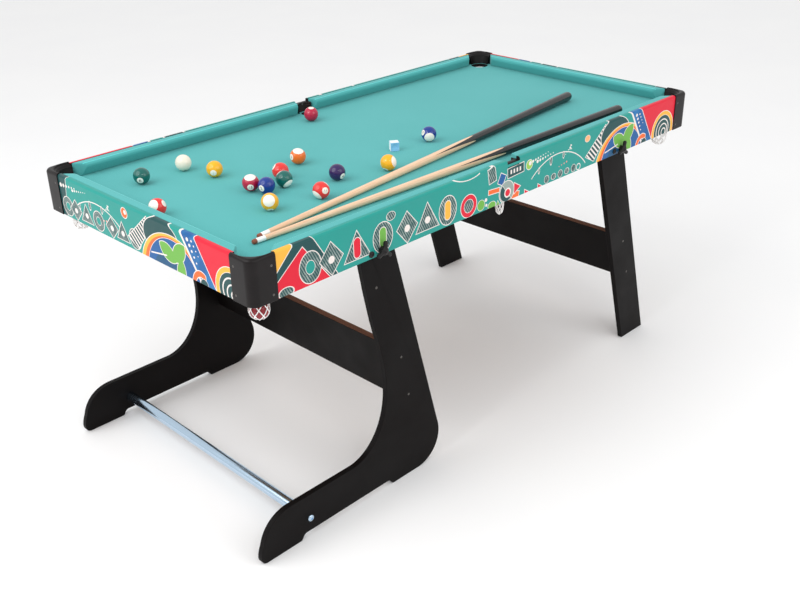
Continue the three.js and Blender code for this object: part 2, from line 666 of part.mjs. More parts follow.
for (const { name, x, y, color } of BALLS) {
  ball(name, x, y, ballRest, color);
}
const pottedX = -halfLength + CORNER_POCKET_INSET;
const pottedY = -halfWidth + CORNER_POCKET_INSET;
ball('ball_potted', pottedX, pottedY, pottedRest, 0x8c1020);
cue('cue_stick_front', { x: -661, y: -260 }, { x: 548, y: -299 });
cue('cue_stick_back', { x: -637, y: -246 }, { x: 566, y: -120 });
chalkCube();

// Put the origin in the middle of the footprint on the floor.
const extent = new THREE.Box3().setFromObject(table);
table.position.x = -(extent.min.x + extent.max.x) / 2;

export default table;
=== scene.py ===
"""Looks for the folding mini pool table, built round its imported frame. Metres, +Z up, front side at -Y."""
import json
import math
import random

import bmesh
import bpy
from mathutils import Matrix, Vector
from mathutils.geometry import tessellate_polygon


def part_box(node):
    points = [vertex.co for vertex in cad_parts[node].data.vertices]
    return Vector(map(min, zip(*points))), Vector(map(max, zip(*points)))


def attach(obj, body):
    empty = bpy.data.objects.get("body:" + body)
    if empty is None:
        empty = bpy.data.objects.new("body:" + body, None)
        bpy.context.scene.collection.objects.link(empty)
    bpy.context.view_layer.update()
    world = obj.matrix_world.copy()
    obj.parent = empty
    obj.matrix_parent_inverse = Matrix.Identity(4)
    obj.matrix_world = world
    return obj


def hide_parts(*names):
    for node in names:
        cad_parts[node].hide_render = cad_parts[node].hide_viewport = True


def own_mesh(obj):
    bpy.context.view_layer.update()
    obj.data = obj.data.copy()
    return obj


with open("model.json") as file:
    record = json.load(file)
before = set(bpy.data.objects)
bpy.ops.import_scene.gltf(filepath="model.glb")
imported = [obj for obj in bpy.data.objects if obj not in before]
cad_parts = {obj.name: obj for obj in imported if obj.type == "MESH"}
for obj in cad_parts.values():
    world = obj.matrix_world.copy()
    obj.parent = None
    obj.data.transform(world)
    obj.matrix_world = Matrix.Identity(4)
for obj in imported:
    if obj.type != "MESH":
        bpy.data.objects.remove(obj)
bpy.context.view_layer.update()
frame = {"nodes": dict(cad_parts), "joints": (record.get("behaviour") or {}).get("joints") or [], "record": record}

MM = 0.001
TAU = 2 * math.pi
UP = Vector((0, 0, 1))
GAP = 0.3 * MM  # between neighbouring pieces, as in the CAD

# ---------- places worked out from the frame ----------
JOINTS = {joint["name"]: joint for joint in frame["joints"]}


def low(node):
    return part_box(node)[0]


def high(node):
    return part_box(node)[1]


def middle(node):
    lo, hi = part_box(node)
    return (lo + hi) / 2


LEFT = low("corner_cap_front_left").x
RIGHT = high("corner_cap_front_right").x
FRONT = low("corner_cap_front_left").y
BACK = high("corner_cap_back_left").y
CENTRE_X = (LEFT + RIGHT) / 2
APRON_BOTTOM = low("apron_front").z
RAIL_TOP = high("apron_front").z
CAP_TOP = high("corner_cap_front_left").z
CLOTH_TOP = high("bed_cloth").z
APRON_FACE = low("apron_front").y - FRONT  # how far the apron's face lies behind the cap's
APRON_THICKNESS = high("apron_front").y - low("apron_front").y
LIP_BOTTOM = RAIL_TOP - 8 * MM  # underside of the caps' flange on the rail
CAP_REACH = high("corner_cap_front_left").x - LEFT

# ---------- camera ----------
CAMERA_PLACE = Vector((-1.7044, -1.7230, 1.4467))
CAMERA_AZIMUTH = math.radians(44.94)
CAMERA_ELEVATION = math.radians(27.01)
CAMERA_ROLL = math.radians(-1.14)
CAMERA_LENS = 44.86

view_ahead = Vector((
    math.sin(CAMERA_AZIMUTH) * math.cos(CAMERA_ELEVATION),
    math.cos(CAMERA_AZIMUTH) * math.cos(CAMERA_ELEVATION),
    -math.sin(CAMERA_ELEVATION),
))
level_right = Vector((math.cos(CAMERA_AZIMUTH), -math.sin(CAMERA_AZIMUTH), 0))
level_up = level_right.cross(view_ahead)
view_right = level_right * math.cos(CAMERA_ROLL) + level_up * math.sin(CAMERA_ROLL)
view_up = level_up * math.cos(CAMERA_ROLL) - level_right * math.sin(CAMERA_ROLL)


def make_camera():
    data = bpy.data.cameras.new("camera")
    data.lens = CAMERA_LENS
    data.clip_end = 100
    camera = bpy.data.objects.new("camera", data)
    bpy.context.scene.collection.objects.link(camera)
    axes = Matrix((view_right, view_up, -view_ahead)).transposed()
    camera.matrix_world = Matrix.Translation(CAMERA_PLACE) @ axes.to_4x4()
    bpy.context.scene.camera = camera


make_camera()


# ---------- meshes ----------
def mesh_piece(name, points, faces, materials, face_slots=None, sharp=35):
    """A piece from points and faces, shaded smooth except where it turns by more than sharp degrees."""
    mesh = bpy.data.meshes.new(name)
    mesh.from_pydata([tuple(p) for p in points], [], faces)
    for material in materials:
        mesh.materials.append(material)
    if face_slots:
        mesh.polygons.foreach_set("material_index", face_slots)
    bm = bmesh.new()
    bm.from_mesh(mesh)
    finish_mesh(bm, mesh, sharp)
    piece = bpy.data.objects.new(name, mesh)
    bpy.context.scene.collection.objects.link(piece)
    return piece


def finish_mesh(bm, mesh, sharp):
    bmesh.ops.recalc_face_normals(bm, faces=bm.faces)
    for face in bm.faces:
        face.smooth = True
    limit = math.radians(sharp)
    for edge in bm.edges:
        edge.smooth = len(edge.link_faces) == 2 and edge.calc_face_angle(0) < limit
    bm.to_mesh(mesh)
    bm.free()


def settle(piece, body, *nodes, slot=None):
    """Puts a piece on its body, in place of its CAD nodes."""
    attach(piece, body)
    if nodes:
        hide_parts(*nodes)
    return piece


def grid(rows, capped=True):
    """Points and faces of a skin over closed rows of equal length, with a face over each end if capped."""
    count = len(rows[0])
    points = [p for row in rows for p in row]
    faces = []
    for i in range(len(rows) - 1):
        for j in range(count):
            k = (j + 1) % count
            faces.append((i * count + j, i * count + k, (i + 1) * count + k, (i + 1) * count + j))
    if capped:
        start = (len(rows) - 1) * count
        faces.append(tuple(range(count)))
        faces.append(tuple(range(start, start + count)))
    return points, faces


def joined(*parts):
    """Several (points, faces) as one."""
    points = []
    faces = []
    for more_points, more_faces in parts:
        start = len(points)
        points.extend(more_points)
        faces.extend(tuple(start + i for i in face) for face in more_faces)
    return points, faces


def quarter(steps):
    """Angles from 0 to a right angle, in equal steps."""
    return [k / steps * math.pi / 2 for k in range(steps + 1)]


def basis(direction):
    """Two unit vectors square to a direction."""
    ahead = Vector(direction).normalized()
    side = ahead.cross(UP if abs(ahead.z) < 0.9 else Vector((1, 0, 0))).normalized()
    return side, ahead.cross(side)


def turned(profile, origin, direction, sides=48):
    """A turned body. The profile lists (radius, distance along the axis); radius 0 closes an end."""
    ahead = Vector(direction).normalized()
    side, other = basis(ahead)
    rows = []
    for radius, along in profile:
        rows.append([
            Vector(origin) + ahead * along
            + (side * math.cos(TAU * i / sides) + other * math.sin(TAU * i / sides)) * max(radius, 1e-5)
            for i in range(sides)
        ])
    return grid(rows)


def tube(path, radius, sides=6, closed=False):
    """A thin round cord along a path."""
    rows = []
    count = len(path)
    up = None
    for i, point in enumerate(path):
        before = path[i - 1] if i or closed else point
        after = path[(i + 1) % count] if i + 1 < count or closed else point
        ahead = (after - before).normalized()
        if up is None:
            up = basis(ahead)[0]
        side = ahead.cross(up).normalized()
        up = side.cross(ahead).normalized()
        rows.append([
            point + (up * math.cos(TAU * k / sides) + side * math.sin(TAU * k / sides)) * radius
            for k in range(sides)
        ])
    if closed:
        rows.append(rows[0])
    return grid(rows, capped=not closed)


def fillet(corners, radius, steps=5):
    """A closed outline with its corners rounded. radius is one number or one for each corner."""
    radii = radius if isinstance(radius, (list, tuple)) else [radius] * len(corners)
    outline = []
    for i, corner in enumerate(corners):
        here = Vector(corner)
        back = Vector(corners[i - 1]) - here
        ahead = Vector(corners[(i + 1) % len(corners)]) - here
        if radii[i] <= 0:
            outline.append(here)
            continue
        half_angle = back.angle(ahead) / 2
        reach = min(radii[i] / math.tan(half_angle), back.length * 0.49, ahead.length * 0.49)
        start = here + back.normalized() * reach
        end = here + ahead.normalized() * reach
        bend = reach * math.tan(half_angle)
        centre = here + (back.normalized() + ahead.normalized()).normalized() * (bend / math.sin(half_angle))
        a, b = start - centre, end - centre
        total = a.angle(b)
        for k in range(steps + 1):
            t = k / steps
            outline.append(
                centre + (a * math.sin((1 - t) * total) + b * math.sin(t * total)) / math.sin(total))
    return outline


def bevelled_copy(name, node, materials, width, slot_of=None, segments=2, sharp=30):
    """The CAD node's own shape with its edges rounded over."""
    bm = bmesh.new()
    bm.from_mesh(frame["nodes"][node].data)
    bmesh.ops.remove_doubles(bm, verts=bm.verts, dist=1e-6)
    bmesh.ops.dissolve_limit(bm, angle_limit=math.radians(1), verts=bm.verts, edges=bm.edges)
    bmesh.ops.recalc_face_normals(bm, faces=bm.faces)
    if slot_of:
        for face in bm.faces:
            face.material_index = slot_of(face)
    edges = [e for e in bm.edges if len(e.link_faces) == 2 and e.calc_face_angle(0) > math.radians(40)]
    bmesh.ops.bevel(bm, geom=edges, offset=width, segments=segments, profile=0.5, affect="EDGES")
    mesh = bpy.data.meshes.new(name)
    for material in materials:
        mesh.materials.append(material)
    finish_mesh(bm, mesh, sharp)
    piece = bpy.data.objects.new(name, mesh)
    bpy.context.scene.collection.objects.link(piece)
    weigh_normals(piece)
    return piece


def weigh_normals(piece):
    modifier = piece.modifiers.new("weigh", "WEIGHTED_NORMAL")
    modifier.keep_sharp = True


def side_loops(node):
    """The outlines of the side of a board that stands along X and Z, outer one first."""
    bm = bmesh.new()
    bm.from_mesh(frame["nodes"][node].data)
    bmesh.ops.remove_doubles(bm, verts=bm.verts, dist=1e-6)
    side = {f for f in bm.faces if f.normal.y < -0.99}
    ahead = {}
    for face in side:
        for loop in face.loops:
            if sum(f in side for f in loop.edge.link_faces) == 1:
                ahead[loop.vert.index] = loop.link_loop_next.vert.index
    flat = {v.index: Vector((v.co.x, v.co.z)) for v in bm.verts}
    bm.free()
    loops = []
    while ahead:
        start, step = ahead.popitem()
        loop = [start]
        while step != start:
            loop.append(step)
            step = ahead.pop(step)
        loops.append([flat[i] for i in loop])
    return sorted(loops, key=lambda loop: -abs(area_of(loop)))


def area_of(loop):
    return sum(a.cross(b) for a, b in zip(loop, loop[1:] + loop[:1])) / 2


def refined(loop, longest=30 * MM, most_turn=25, steps=3):
    """An outline with its gently turning stretches cut finer along a smooth curve."""
    count = len(loop)
    finer = []
    for i in range(count):
        p0, p1, p2, p3 = (loop[(i + k) % count] for k in (-1, 0, 1, 2))
        edge = p2 - p1
        turns = [(p1 - p0).angle(edge), edge.angle(p3 - p2)]
        finer.append(p1)
        if edge.length > longest or max(turns) < math.radians(0.5):
            continue
        t1 = (p2 - p0).normalized() if turns[0] < math.radians(most_turn) else edge.normalized()
        t2 = (p3 - p1).normalized() if turns[1] < math.radians(most_turn) else edge.normalized()
        if min(turns) > math.radians(most_turn):
            continue
        for k in range(1, steps):
            t = k / steps
            a = 2 * t ** 3 - 3 * t ** 2 + 1
            b = t ** 3 - 2 * t ** 2 + t
            c = -2 * t ** 3 + 3 * t ** 2
            d = t ** 3 - t ** 2
            finer.append(p1 * a + t1 * edge.length * b + p2 * c + t2 * edge.length * d)
    return finer


def inset(loop, distance):
    """The outline moved to its own left by a small distance."""
    count = len(loop)
    moved = []
    for i, point in enumerate(loop):
        a = (point - loop[i - 1]).normalized()
        b = (loop[(i + 1) % count] - point).normalized()
        normal = Vector((-a.y - b.y, a.x + b.x)).normalized()
        stretch = max(normal.dot(Vector((-a.y, a.x))), 0.5)
        moved.append(point + normal * distance / stretch)
    return moved


def board_piece(name, node, materials, edge=0.9 * MM, steps=3):
    """A flat board along X and Z with rounded-over edges. Faces round the edge take the second material."""
    y0, y1 = low(node).y, high(node).y
    loops = [refined(loop) for loop in side_loops(node)]
    if area_of(loops[0]) < 0:
        loops = [loop[::-1] for loop in loops]
    rings = []
    for k in range(steps + 1):
        a = k / steps * math.pi / 2
        rings.append((edge * (1 - math.sin(a)), y0 + edge * (1 - math.cos(a))))
    rings += [(d, y0 + y1 - y) for d, y in reversed(rings)]
    points, faces, slots = [], [], []
    start = 0
    for loop in loops:
        count = len(loop)
        for distance, y in rings:
            points += [Vector((p.x, y, p.y)) for p in inset(loop, distance)]
        for i in range(len(rings) - 1):
            for j in range(count):
                a = start + i * count + j
                b = start + i * count + (j + 1) % count
                faces.append((a, b, b + count, a + count))
                slots.append(1 if i == steps else 0)
        start += count * len(rings)
    cover = tessellate_polygon([[Vector((p.x, p.y, 0)) for p in loop] for loop in loops])
    for last in (False, True):
        index = []
        start = 0
        for loop in loops:
            index += [start + (len(rings) - 1) * len(loop) * last + j for j in range(len(loop))]
            start += len(loop) * len(rings)
        faces += [tuple(index[i] for i in triangle) for triangle in cover]
        slots += [0] * len(cover)
    piece = mesh_piece(name, points, faces, materials, slots if len(materials) > 1 else None)
    weigh_normals(piece)
    return piece


def carve(piece, cutters):
    """Cuts closed bodies out of a piece."""
    for points, faces in cutters:
        tool = mesh_piece("cutter", points, faces, [])
        modifier = piece.modifiers.new("cut", "BOOLEAN")
        modifier.operation = "DIFFERENCE"
        modifier.solver = "EXACT"
        modifier.object = tool
        bpy.context.view_layer.update()
        made = bpy.data.meshes.new_from_object(piece.evaluated_get(bpy.context.evaluated_depsgraph_get()))
        piece.modifiers.clear()
        piece.data = made
        bpy.data.objects.remove(tool)


def block(x0, x1, y0, y1, z0, z1):
    rows = [[Vector((x, y, z)) for x, y in ((x0, y0), (x1, y0), (x1, y1), (x0, y1))] for z in (z0, z1)]
    return grid(rows)


# ---------- materials ----------
class Graph:
    """A short way to write the node tree of one material. place is the point in the piece's own frame."""

    def __init__(self, name, colour=(0.8, 0.8, 0.8), roughness=0.5, metallic=0.0):
        self.material = bpy.data.materials.new(name)
        self.material.use_nodes = True
        self.tree = self.material.node_tree
        self.shader = self.tree.nodes["Principled BSDF"]
        self.place = self.node("ShaderNodeTexCoord").outputs["Object"]
        self.set("Base Color", (*colour, 1))
        self.set("Roughness", roughness)
        self.set("Metallic", metallic)
        self.material.diffuse_color = (*colour, 1)

    def node(self, kind, **settings):
        made = self.tree.nodes.new(kind)
        for key, value in settings.items():
            setattr(made, key, value)
        return made

    def join(self, socket, value):
        if isinstance(value, bpy.types.NodeSocket):
            self.tree.links.new(value, socket)
        else:
            socket.default_value = value

    def set(self, name, value):
        self.join(self.shader.inputs[name], value)
        return self

    def math(self, operation, *values, clamp=False):
        made = self.node("ShaderNodeMath", operation=operation, use_clamp=clamp)
        for socket, value in zip(made.inputs, values):
            self.join(socket, value)
        return made.outputs[0]

    def vector(self, operation, *values, output=0):
        made = self.node("ShaderNodeVectorMath", operation=operation)
        for socket, value in zip(made.inputs, values):
            self.join(socket, value)
        return made.outputs[output]

    def mix(self, share, a, b):
        made = self.node("ShaderNodeMix", data_type="RGBA")
        self.join(made.inputs[0], share)
        for socket, value in ((made.inputs[6], a), (made.inputs[7], b)):
            self.join(socket, (*value, 1) if isinstance(value, tuple) and len(value) == 3 else value)
        return made.outputs[2]

    def noise(self, scale, detail=3.0, place=None, roughness=0.55):
        made = self.node("ShaderNodeTexNoise")
        self.join(made.inputs["Vector"], place or self.place)
        self.join(made.inputs["Scale"], scale)
        self.join(made.inputs["Detail"], detail)
        self.join(made.inputs["Roughness"], roughness)
        return made.outputs["Fac"]

    def spread(self, value, from_low, from_high, to_low=0.0, to_high=1.0):
        made = self.node("ShaderNodeMapRange")
        for socket, number in zip(made.inputs, (value, from_low, from_high, to_low, to_high)):
            self.join(socket, number)
        return made.outputs[0]

    def bump(self, height, strength, distance):
        made = self.node("ShaderNodeBump")
        self.join(made.inputs["Height"], height)
        self.join(made.inputs["Strength"], strength)
        self.join(made.inputs["Distance"], distance)
        self.join(self.shader.inputs["Normal"], made.outputs[0])
        return self

    def add(self, *values):
        total = values[0]
        for value in values[1:]:
            total = self.math("ADD", total, value)
        return total

    def stretched(self, x, y, z):
        return self.vector("MULTIPLY", self.place, (x, y, z))


WEAVE = 3600.0


def cloth_material(name, shade):
    """Brushed teal cloth: short fibres, a faint weave and slow changes of tone."""
    g = Graph(name, roughness=0.92)
    fibre = g.noise(2600, 2)
    nap = g.noise(420, 4)
    cloud = g.noise(7, 3)
    tones = (0.115, 0.475, 0.470), (0.082, 0.405, 0.400), (0.050, 0.310, 0.308)
    light, mid, deep = (tuple(min(0.9, c * shade) for c in tone) for tone in tones)
    colour = g.mix(g.spread(fibre, 0.3, 0.72), deep, light)
    colour = g.mix(0.62, colour, mid)
    colour = g.mix(g.spread(nap, 0.35, 0.7, 0, 0.22), colour, deep)
    colour = g.mix(g.spread(cloud, 0.35, 0.7, 0, 0.16), colour, light)
    g.set("Base Color", colour)
    g.set("Sheen Weight", 0.25)
    g.set("Sheen Roughness", 0.45)
    g.set("Sheen Tint", (0.62, 0.93, 0.93, 1))
    g.set("Specular IOR Level", 0.25)
    weave = g.math("MULTIPLY", wave(g, (1, 0, 0), WEAVE), wave(g, (0, 1, 0), WEAVE))
    g.bump(g.add(fibre, nap, g.math("MULTIPLY", weave, 0.25)), 0.32, 0.25 * MM)
    return g.material


def wave(g, direction, turns):
    """Fine ridges square to a direction; turns is in radians a metre."""
    along = g.vector("DOT_PRODUCT", g.place, direction, output=1)
    return g.math("SINE", g.math("MULTIPLY", along, turns))


def plastic_material(name, colour, roughness, grain=0.1):
    g = Graph(name, colour, roughness)
    fine = g.noise(1500, 2)
    broad = g.noise(24, 3)
    dull = tuple(min(1, c * 1.9 + 0.006) for c in colour)
    g.set("Base Color", g.mix(g.spread(broad, 0.42, 0.75, 0, 0.35), colour, dull))
    g.set("Roughness", g.spread(broad, 0.3, 0.7, roughness - 0.06, roughness + 0.08))
    g.set("Specular IOR Level", 0.22)
    g.bump(fine, grain, 0.12 * MM)
    return g.material


def foil_board_material():
    """Matte black foil over board, with a leather-like grain and faint handling marks."""
    colour = (0.0022, 0.0012, 0.0012)
    g = Graph("black_board", colour, 0.5)
    grain = g.noise(900, 3)
    marks = g.noise(9, 4)
    g.set("Base Color", g.mix(g.spread(marks, 0.45, 0.8, 0, 0.5), colour, (0.0050, 0.0032, 0.0030)))
    g.set("Roughness", g.spread(marks, 0.3, 0.75, 0.44, 0.62))
    g.set("Specular IOR Level", 0.12)
    g.bump(grain, 0.16, 0.15 * MM)
    return g.material


def raw_board_material(name, light, dark):
    """The raw fibreboard of an edge or an underside."""
    g = Graph(name, light, 0.85)
    fibres = g.noise(260, 5, g.stretched(1, 1, 3))
    specks = g.noise(1400, 2)
    colour = g.mix(g.spread(fibres, 0.3, 0.7), light, dark)
    g.set("Base Color", g.mix(g.spread(specks, 0.55, 0.8, 0, 0.5), colour, tuple(c * 0.5 for c in dark)))
    g.bump(g.add(fibres, specks), 0.4, 0.2 * MM)
    return g.material


def chrome_material():
    g = Graph("chrome", (0.50, 0.64, 0.78), 0.2, 1.0)
    brushed = g.noise(60, 4, g.stretched(1, 14, 14))
    smudge = g.noise(16, 3)
    g.set("Roughness", g.add(g.spread(smudge, 0.3, 0.75, 0.12, 0.2), g.spread(brushed, 0.4, 0.8, 0, 0.05)))
    g.bump(brushed, 0.02, 0.05 * MM)
    return g.material


def net_material():
    """White knotted cord: twisted strands with a soft, slightly uneven whiteness."""
    g = Graph("net_cord", (0.95, 0.94, 0.92), 0.8)
    twist = g.noise(900, 3, g.stretched(1, 1, 0.5))
    g.set("Base Color", g.mix(g.spread(twist, 0.35, 0.7), (0.92, 0.91, 0.90), (1.0, 0.99, 0.98)))
    g.set("Sheen Weight", 0.2)
    g.bump(twist, 0.6, 0.3 * MM)
    return g.material


def chalk_material():
    g = Graph("chalk_blue", (0.20, 0.50, 0.78), 0.98)
    powder = g.noise(1300, 4)
    patches = g.noise(150, 3)
    colour = g.mix(g.spread(powder, 0.3, 0.7), (0.15, 0.43, 0.74), (0.30, 0.62, 0.86))
    g.set("Base Color", g.mix(g.spread(patches, 0.5, 0.75, 0, 0.4), colour, (0.45, 0.72, 0.88)))
    g.bump(powder, 0.6, 0.3 * MM)
    return g.material


def paper_material():
    g = Graph("chalk_paper", (0.86, 0.88, 0.90), 0.7)
    fibres = g.noise(500, 4)
    g.set("Base Color", g.mix(g.spread(fibres, 0.35, 0.75), (0.90, 0.92, 0.93), (0.74, 0.80, 0.85)))
    g.bump(fibres, 0.2, 0.2 * MM)
    return g.material


PALE = (0.83, 0.76, 0.72)
PRINT_TEAL = (0.014, 0.305, 0.262)
PRINT_DARK = (0.012, 0.070, 0.072)
PRINT_RED = (0.72, 0.012, 0.036)
PRINT_YELLOW = (0.90, 0.46, 0.055)
PRINT_BLUE = (0.010, 0.105, 0.32)
PRINT_GREEN = (0.155, 0.43, 0.065)
PRINT_ORANGE = (0.86, 0.15, 0.030)
PRINT_GREY = (0.30, 0.37, 0.34)


class Print(Graph):
    """Printed film. Flat shapes are laid over each other, placed in metres along and up the apron."""

    def __init__(self, name, along, start):
        super().__init__(name, PRINT_TEAL, 0.3)
        self.u = self.math("SUBTRACT", self.vector("DOT_PRODUCT", self.place, along, output=1), start)
        z = self.vector("DOT_PRODUCT", self.place, (0, 0, 1), output=1)
        self.v = self.math("SUBTRACT", z, APRON_BOTTOM)
        made = self.node("ShaderNodeCombineXYZ")
        self.join(made.inputs[0], self.u)
        self.join(made.inputs[1], self.v)
        self.point = made.outputs[0]
        self.paint = self.mix(self.spread(self.noise(14, 2), 0.3, 0.7), PRINT_TEAL, (0.020, 0.30, 0.262))
        self.hatching = self.hatch()

    def hatch(self):
        """Slanted pencil strokes of uneven tone, for filled shapes."""
        tilt = self.vector("DOT_PRODUCT", self.point, (0.88, 0.47, 0), output=1)
        wobble = self.math("MULTIPLY", self.noise(90, 2), 0.0035)
        strokes = self.math("SINE", self.math("MULTIPLY", self.add(tilt, wobble), 1150.0))
        tone = self.noise(45, 3)
        grey = self.mix(self.spread(tone, 0.35, 0.65), (0.09, 0.16, 0.15), (0.34, 0.40, 0.38))
        return self.mix(self.spread(strokes, -0.1, 0.35), grey, PRINT_DARK)

    # distances: negative inside a shape
    def ellipse(self, u, v, ru, rv=None):
        rv = rv or ru
        size = min(ru, rv)
        scaled = self.node("ShaderNodeVectorMath", operation="MULTIPLY_ADD")
        self.join(scaled.inputs[0], self.point)
        self.join(scaled.inputs[1], (1 / ru, 1 / rv, 0))
        self.join(scaled.inputs[2], (-u / ru, -v / rv, 0))
        return self.math("MULTIPLY_ADD", self.vector("LENGTH", scaled.outputs[0], output=1), size, -size)

    def past(self, u, v, degrees):
        """How far a point lies past the line through (u, v), going the way that the angle points."""
        n = (math.cos(math.radians(degrees)), math.sin(math.radians(degrees)), 0)
        return self.math("ADD", self.vector("DOT_PRODUCT", self.point, n, output=1), -(u * n[0] + v * n[1]))

    def both(self, *distances):
        """Inside all of the shapes."""
        found = distances[0]
        for distance in distances[1:]:
            found = self.math("MAXIMUM", found, distance)
        return found

    def either(self, *distances):
        found = distances[0]
        for distance in distances[1:]:
            found = self.math("MINIMUM", found, distance)
        return found

    def grown(self, distance, amount):
        return self.math("SUBTRACT", distance, amount)

    def band(self, distance, width):
        """A line of that width along the edge of a shape."""
        return self.math("SUBTRACT", self.math("ABSOLUTE", distance), width / 2)

    def rhombus(self, u, v, ru, rv):
        moved = self.vector("ABSOLUTE", self.vector("SUBTRACT", self.point, (u, v, 0)))
        reach = self.vector("DOT_PRODUCT", moved, (1 / ru, 1 / rv, 0), output=1)
        return self.math("MULTIPLY_ADD", reach, min(ru, rv) * 0.75, -min(ru, rv) * 0.75)

    def triangle(self, u, v, size, turn=90):
        return self.both(*[
            self.past(u + size / 2 * math.cos(math.radians(turn + 180 + k * 120)),
                      v + size / 2 * math.sin(math.radians(turn + 180 + k * 120)), turn + 180 + k * 120)
            for k in range(3)
        ])

    def pill(self, u, v, half_width, half_height):
        """An upright bar with round ends."""
        moved = self.vector("ABSOLUTE", self.vector("SUBTRACT", self.point, (u, v, 0)))
        cut = self.vector("SUBTRACT", moved, (0, half_height - half_width, 0))
        cut = self.vector("MAXIMUM", cut, (0, 0, 0))
        return self.math("SUBTRACT", self.vector("LENGTH", cut, output=1), half_width)

    def tilted_block(self, u, v, half_u, half_v, degrees):
        sides = [(half_u, degrees), (half_v, degrees + 90), (half_u, degrees + 180), (half_v, degrees + 270)]
        return self.both(*[
            self.past(u + r * math.cos(math.radians(a)), v + r * math.sin(math.radians(a)), a)
            for r, a in sides
        ])

    def lay(self, distance, colour, edge=0.0, edge_colour=PALE):
        """Paints a shape, with an outline of that width round it."""
        if edge:
            self.lay(self.grown(distance, edge), edge_colour)
        self.paint = self.mix(self.math("LESS_THAN", distance, 0.0), self.paint, colour)

    def dots(self, u, v, step_u, step_v, count, radius, colour=PALE):
        """A row of shrinking dots."""
        for k in range(count):
            self.lay(self.ellipse(u + step_u * k, v + step_v * k, radius * 0.84 ** k), colour)

    def finished(self):
        self.set("Base Color", self.paint)
        gloss = self.noise(18, 3)
        self.set("Roughness", self.spread(gloss, 0.3, 0.75, 0.34, 0.46))
        self.set("Specular IOR Level", 0.22)
        self.set("Coat Weight", 0.06)
        self.set("Coat Roughness", 0.2)
        self.bump(self.noise(700, 2), 0.03, 0.1 * MM)
        return self.material


OUTLINE = 1.7 * MM
THIN = 1.1 * MM


def big_shapes(p, places, height, half_width, foot):
    """The row of large hatched shapes: balls, diamonds and racks, some with a coloured pill inside."""
    centre = foot + height / 2
    for k, (u, pill_colour) in enumerate(places):
        if k % 3 == 0:
            shape = p.ellipse(u, centre, half_width, height / 2)
        elif k % 3 == 1:
            shape = p.rhombus(u, centre, half_width * 1.12, height * 0.54)
        else:
            shape = p.triangle(u, centre - height * 0.06, height * 0.62)
        p.lay(shape, p.hatching, OUTLINE)
        if pill_colour:
            p.lay(p.pill(u, centre, half_width * 0.33, height * 0.33), pill_colour, OUTLINE)
        elif k % 3 == 0:
            p.lay(p.ellipse(u, centre, half_width * 0.42, height * 0.21), PRINT_TEAL, THIN)
        else:
            p.lay(p.ellipse(u, centre - height * 0.04, half_width * 0.3), PALE)


def flourish(p, u):
    """A long pale curve with drops, dots and sprigs round it, starting at u."""
    radius = 155 * MM
    curve = p.ellipse(u + 105 * MM, 66 * MM - radius, radius)
    line = p.both(p.band(curve, 2.4 * MM), p.past(u + 4 * MM, 0, 180), p.past(u + 222 * MM, 0, 0))
    p.lay(line, PALE)
    for step, size in ((32, 6), (78, 9), (128, 7)):
        top = 66 * MM - radius + math.sqrt(radius ** 2 - ((step - 105) * MM) ** 2)
        p.lay(p.ellipse(u + step * MM, top - size * MM, size * 0.4 * MM, size * MM), p.hatching, THIN)
    p.dots(u + 8 * MM, 72 * MM, 9.5 * MM, 1.4 * MM, 7, 3.4 * MM)
    p.dots(u + 158 * MM, 74 * MM, -5.5 * MM, -4.5 * MM, 5, 2.2 * MM)
    p.dots(u + 142 * MM, 36 * MM, -10 * MM, -1.5 * MM, 4, 2.4 * MM, (0.80, 0.30, 0.26))
    for k in range(4):
        lean = 65 + 22 * k
        reach = (150 + 4 * k) * MM
        sprig = p.both(
            p.band(p.past(u + reach, 62 * MM, lean + 90), 1.4 * MM),
            p.past(u + reach, 64 * MM, lean + 180),
            p.past(u + reach, (74 + 3 * (k % 2)) * MM, lean),
        )
        p.lay(sprig, PALE)


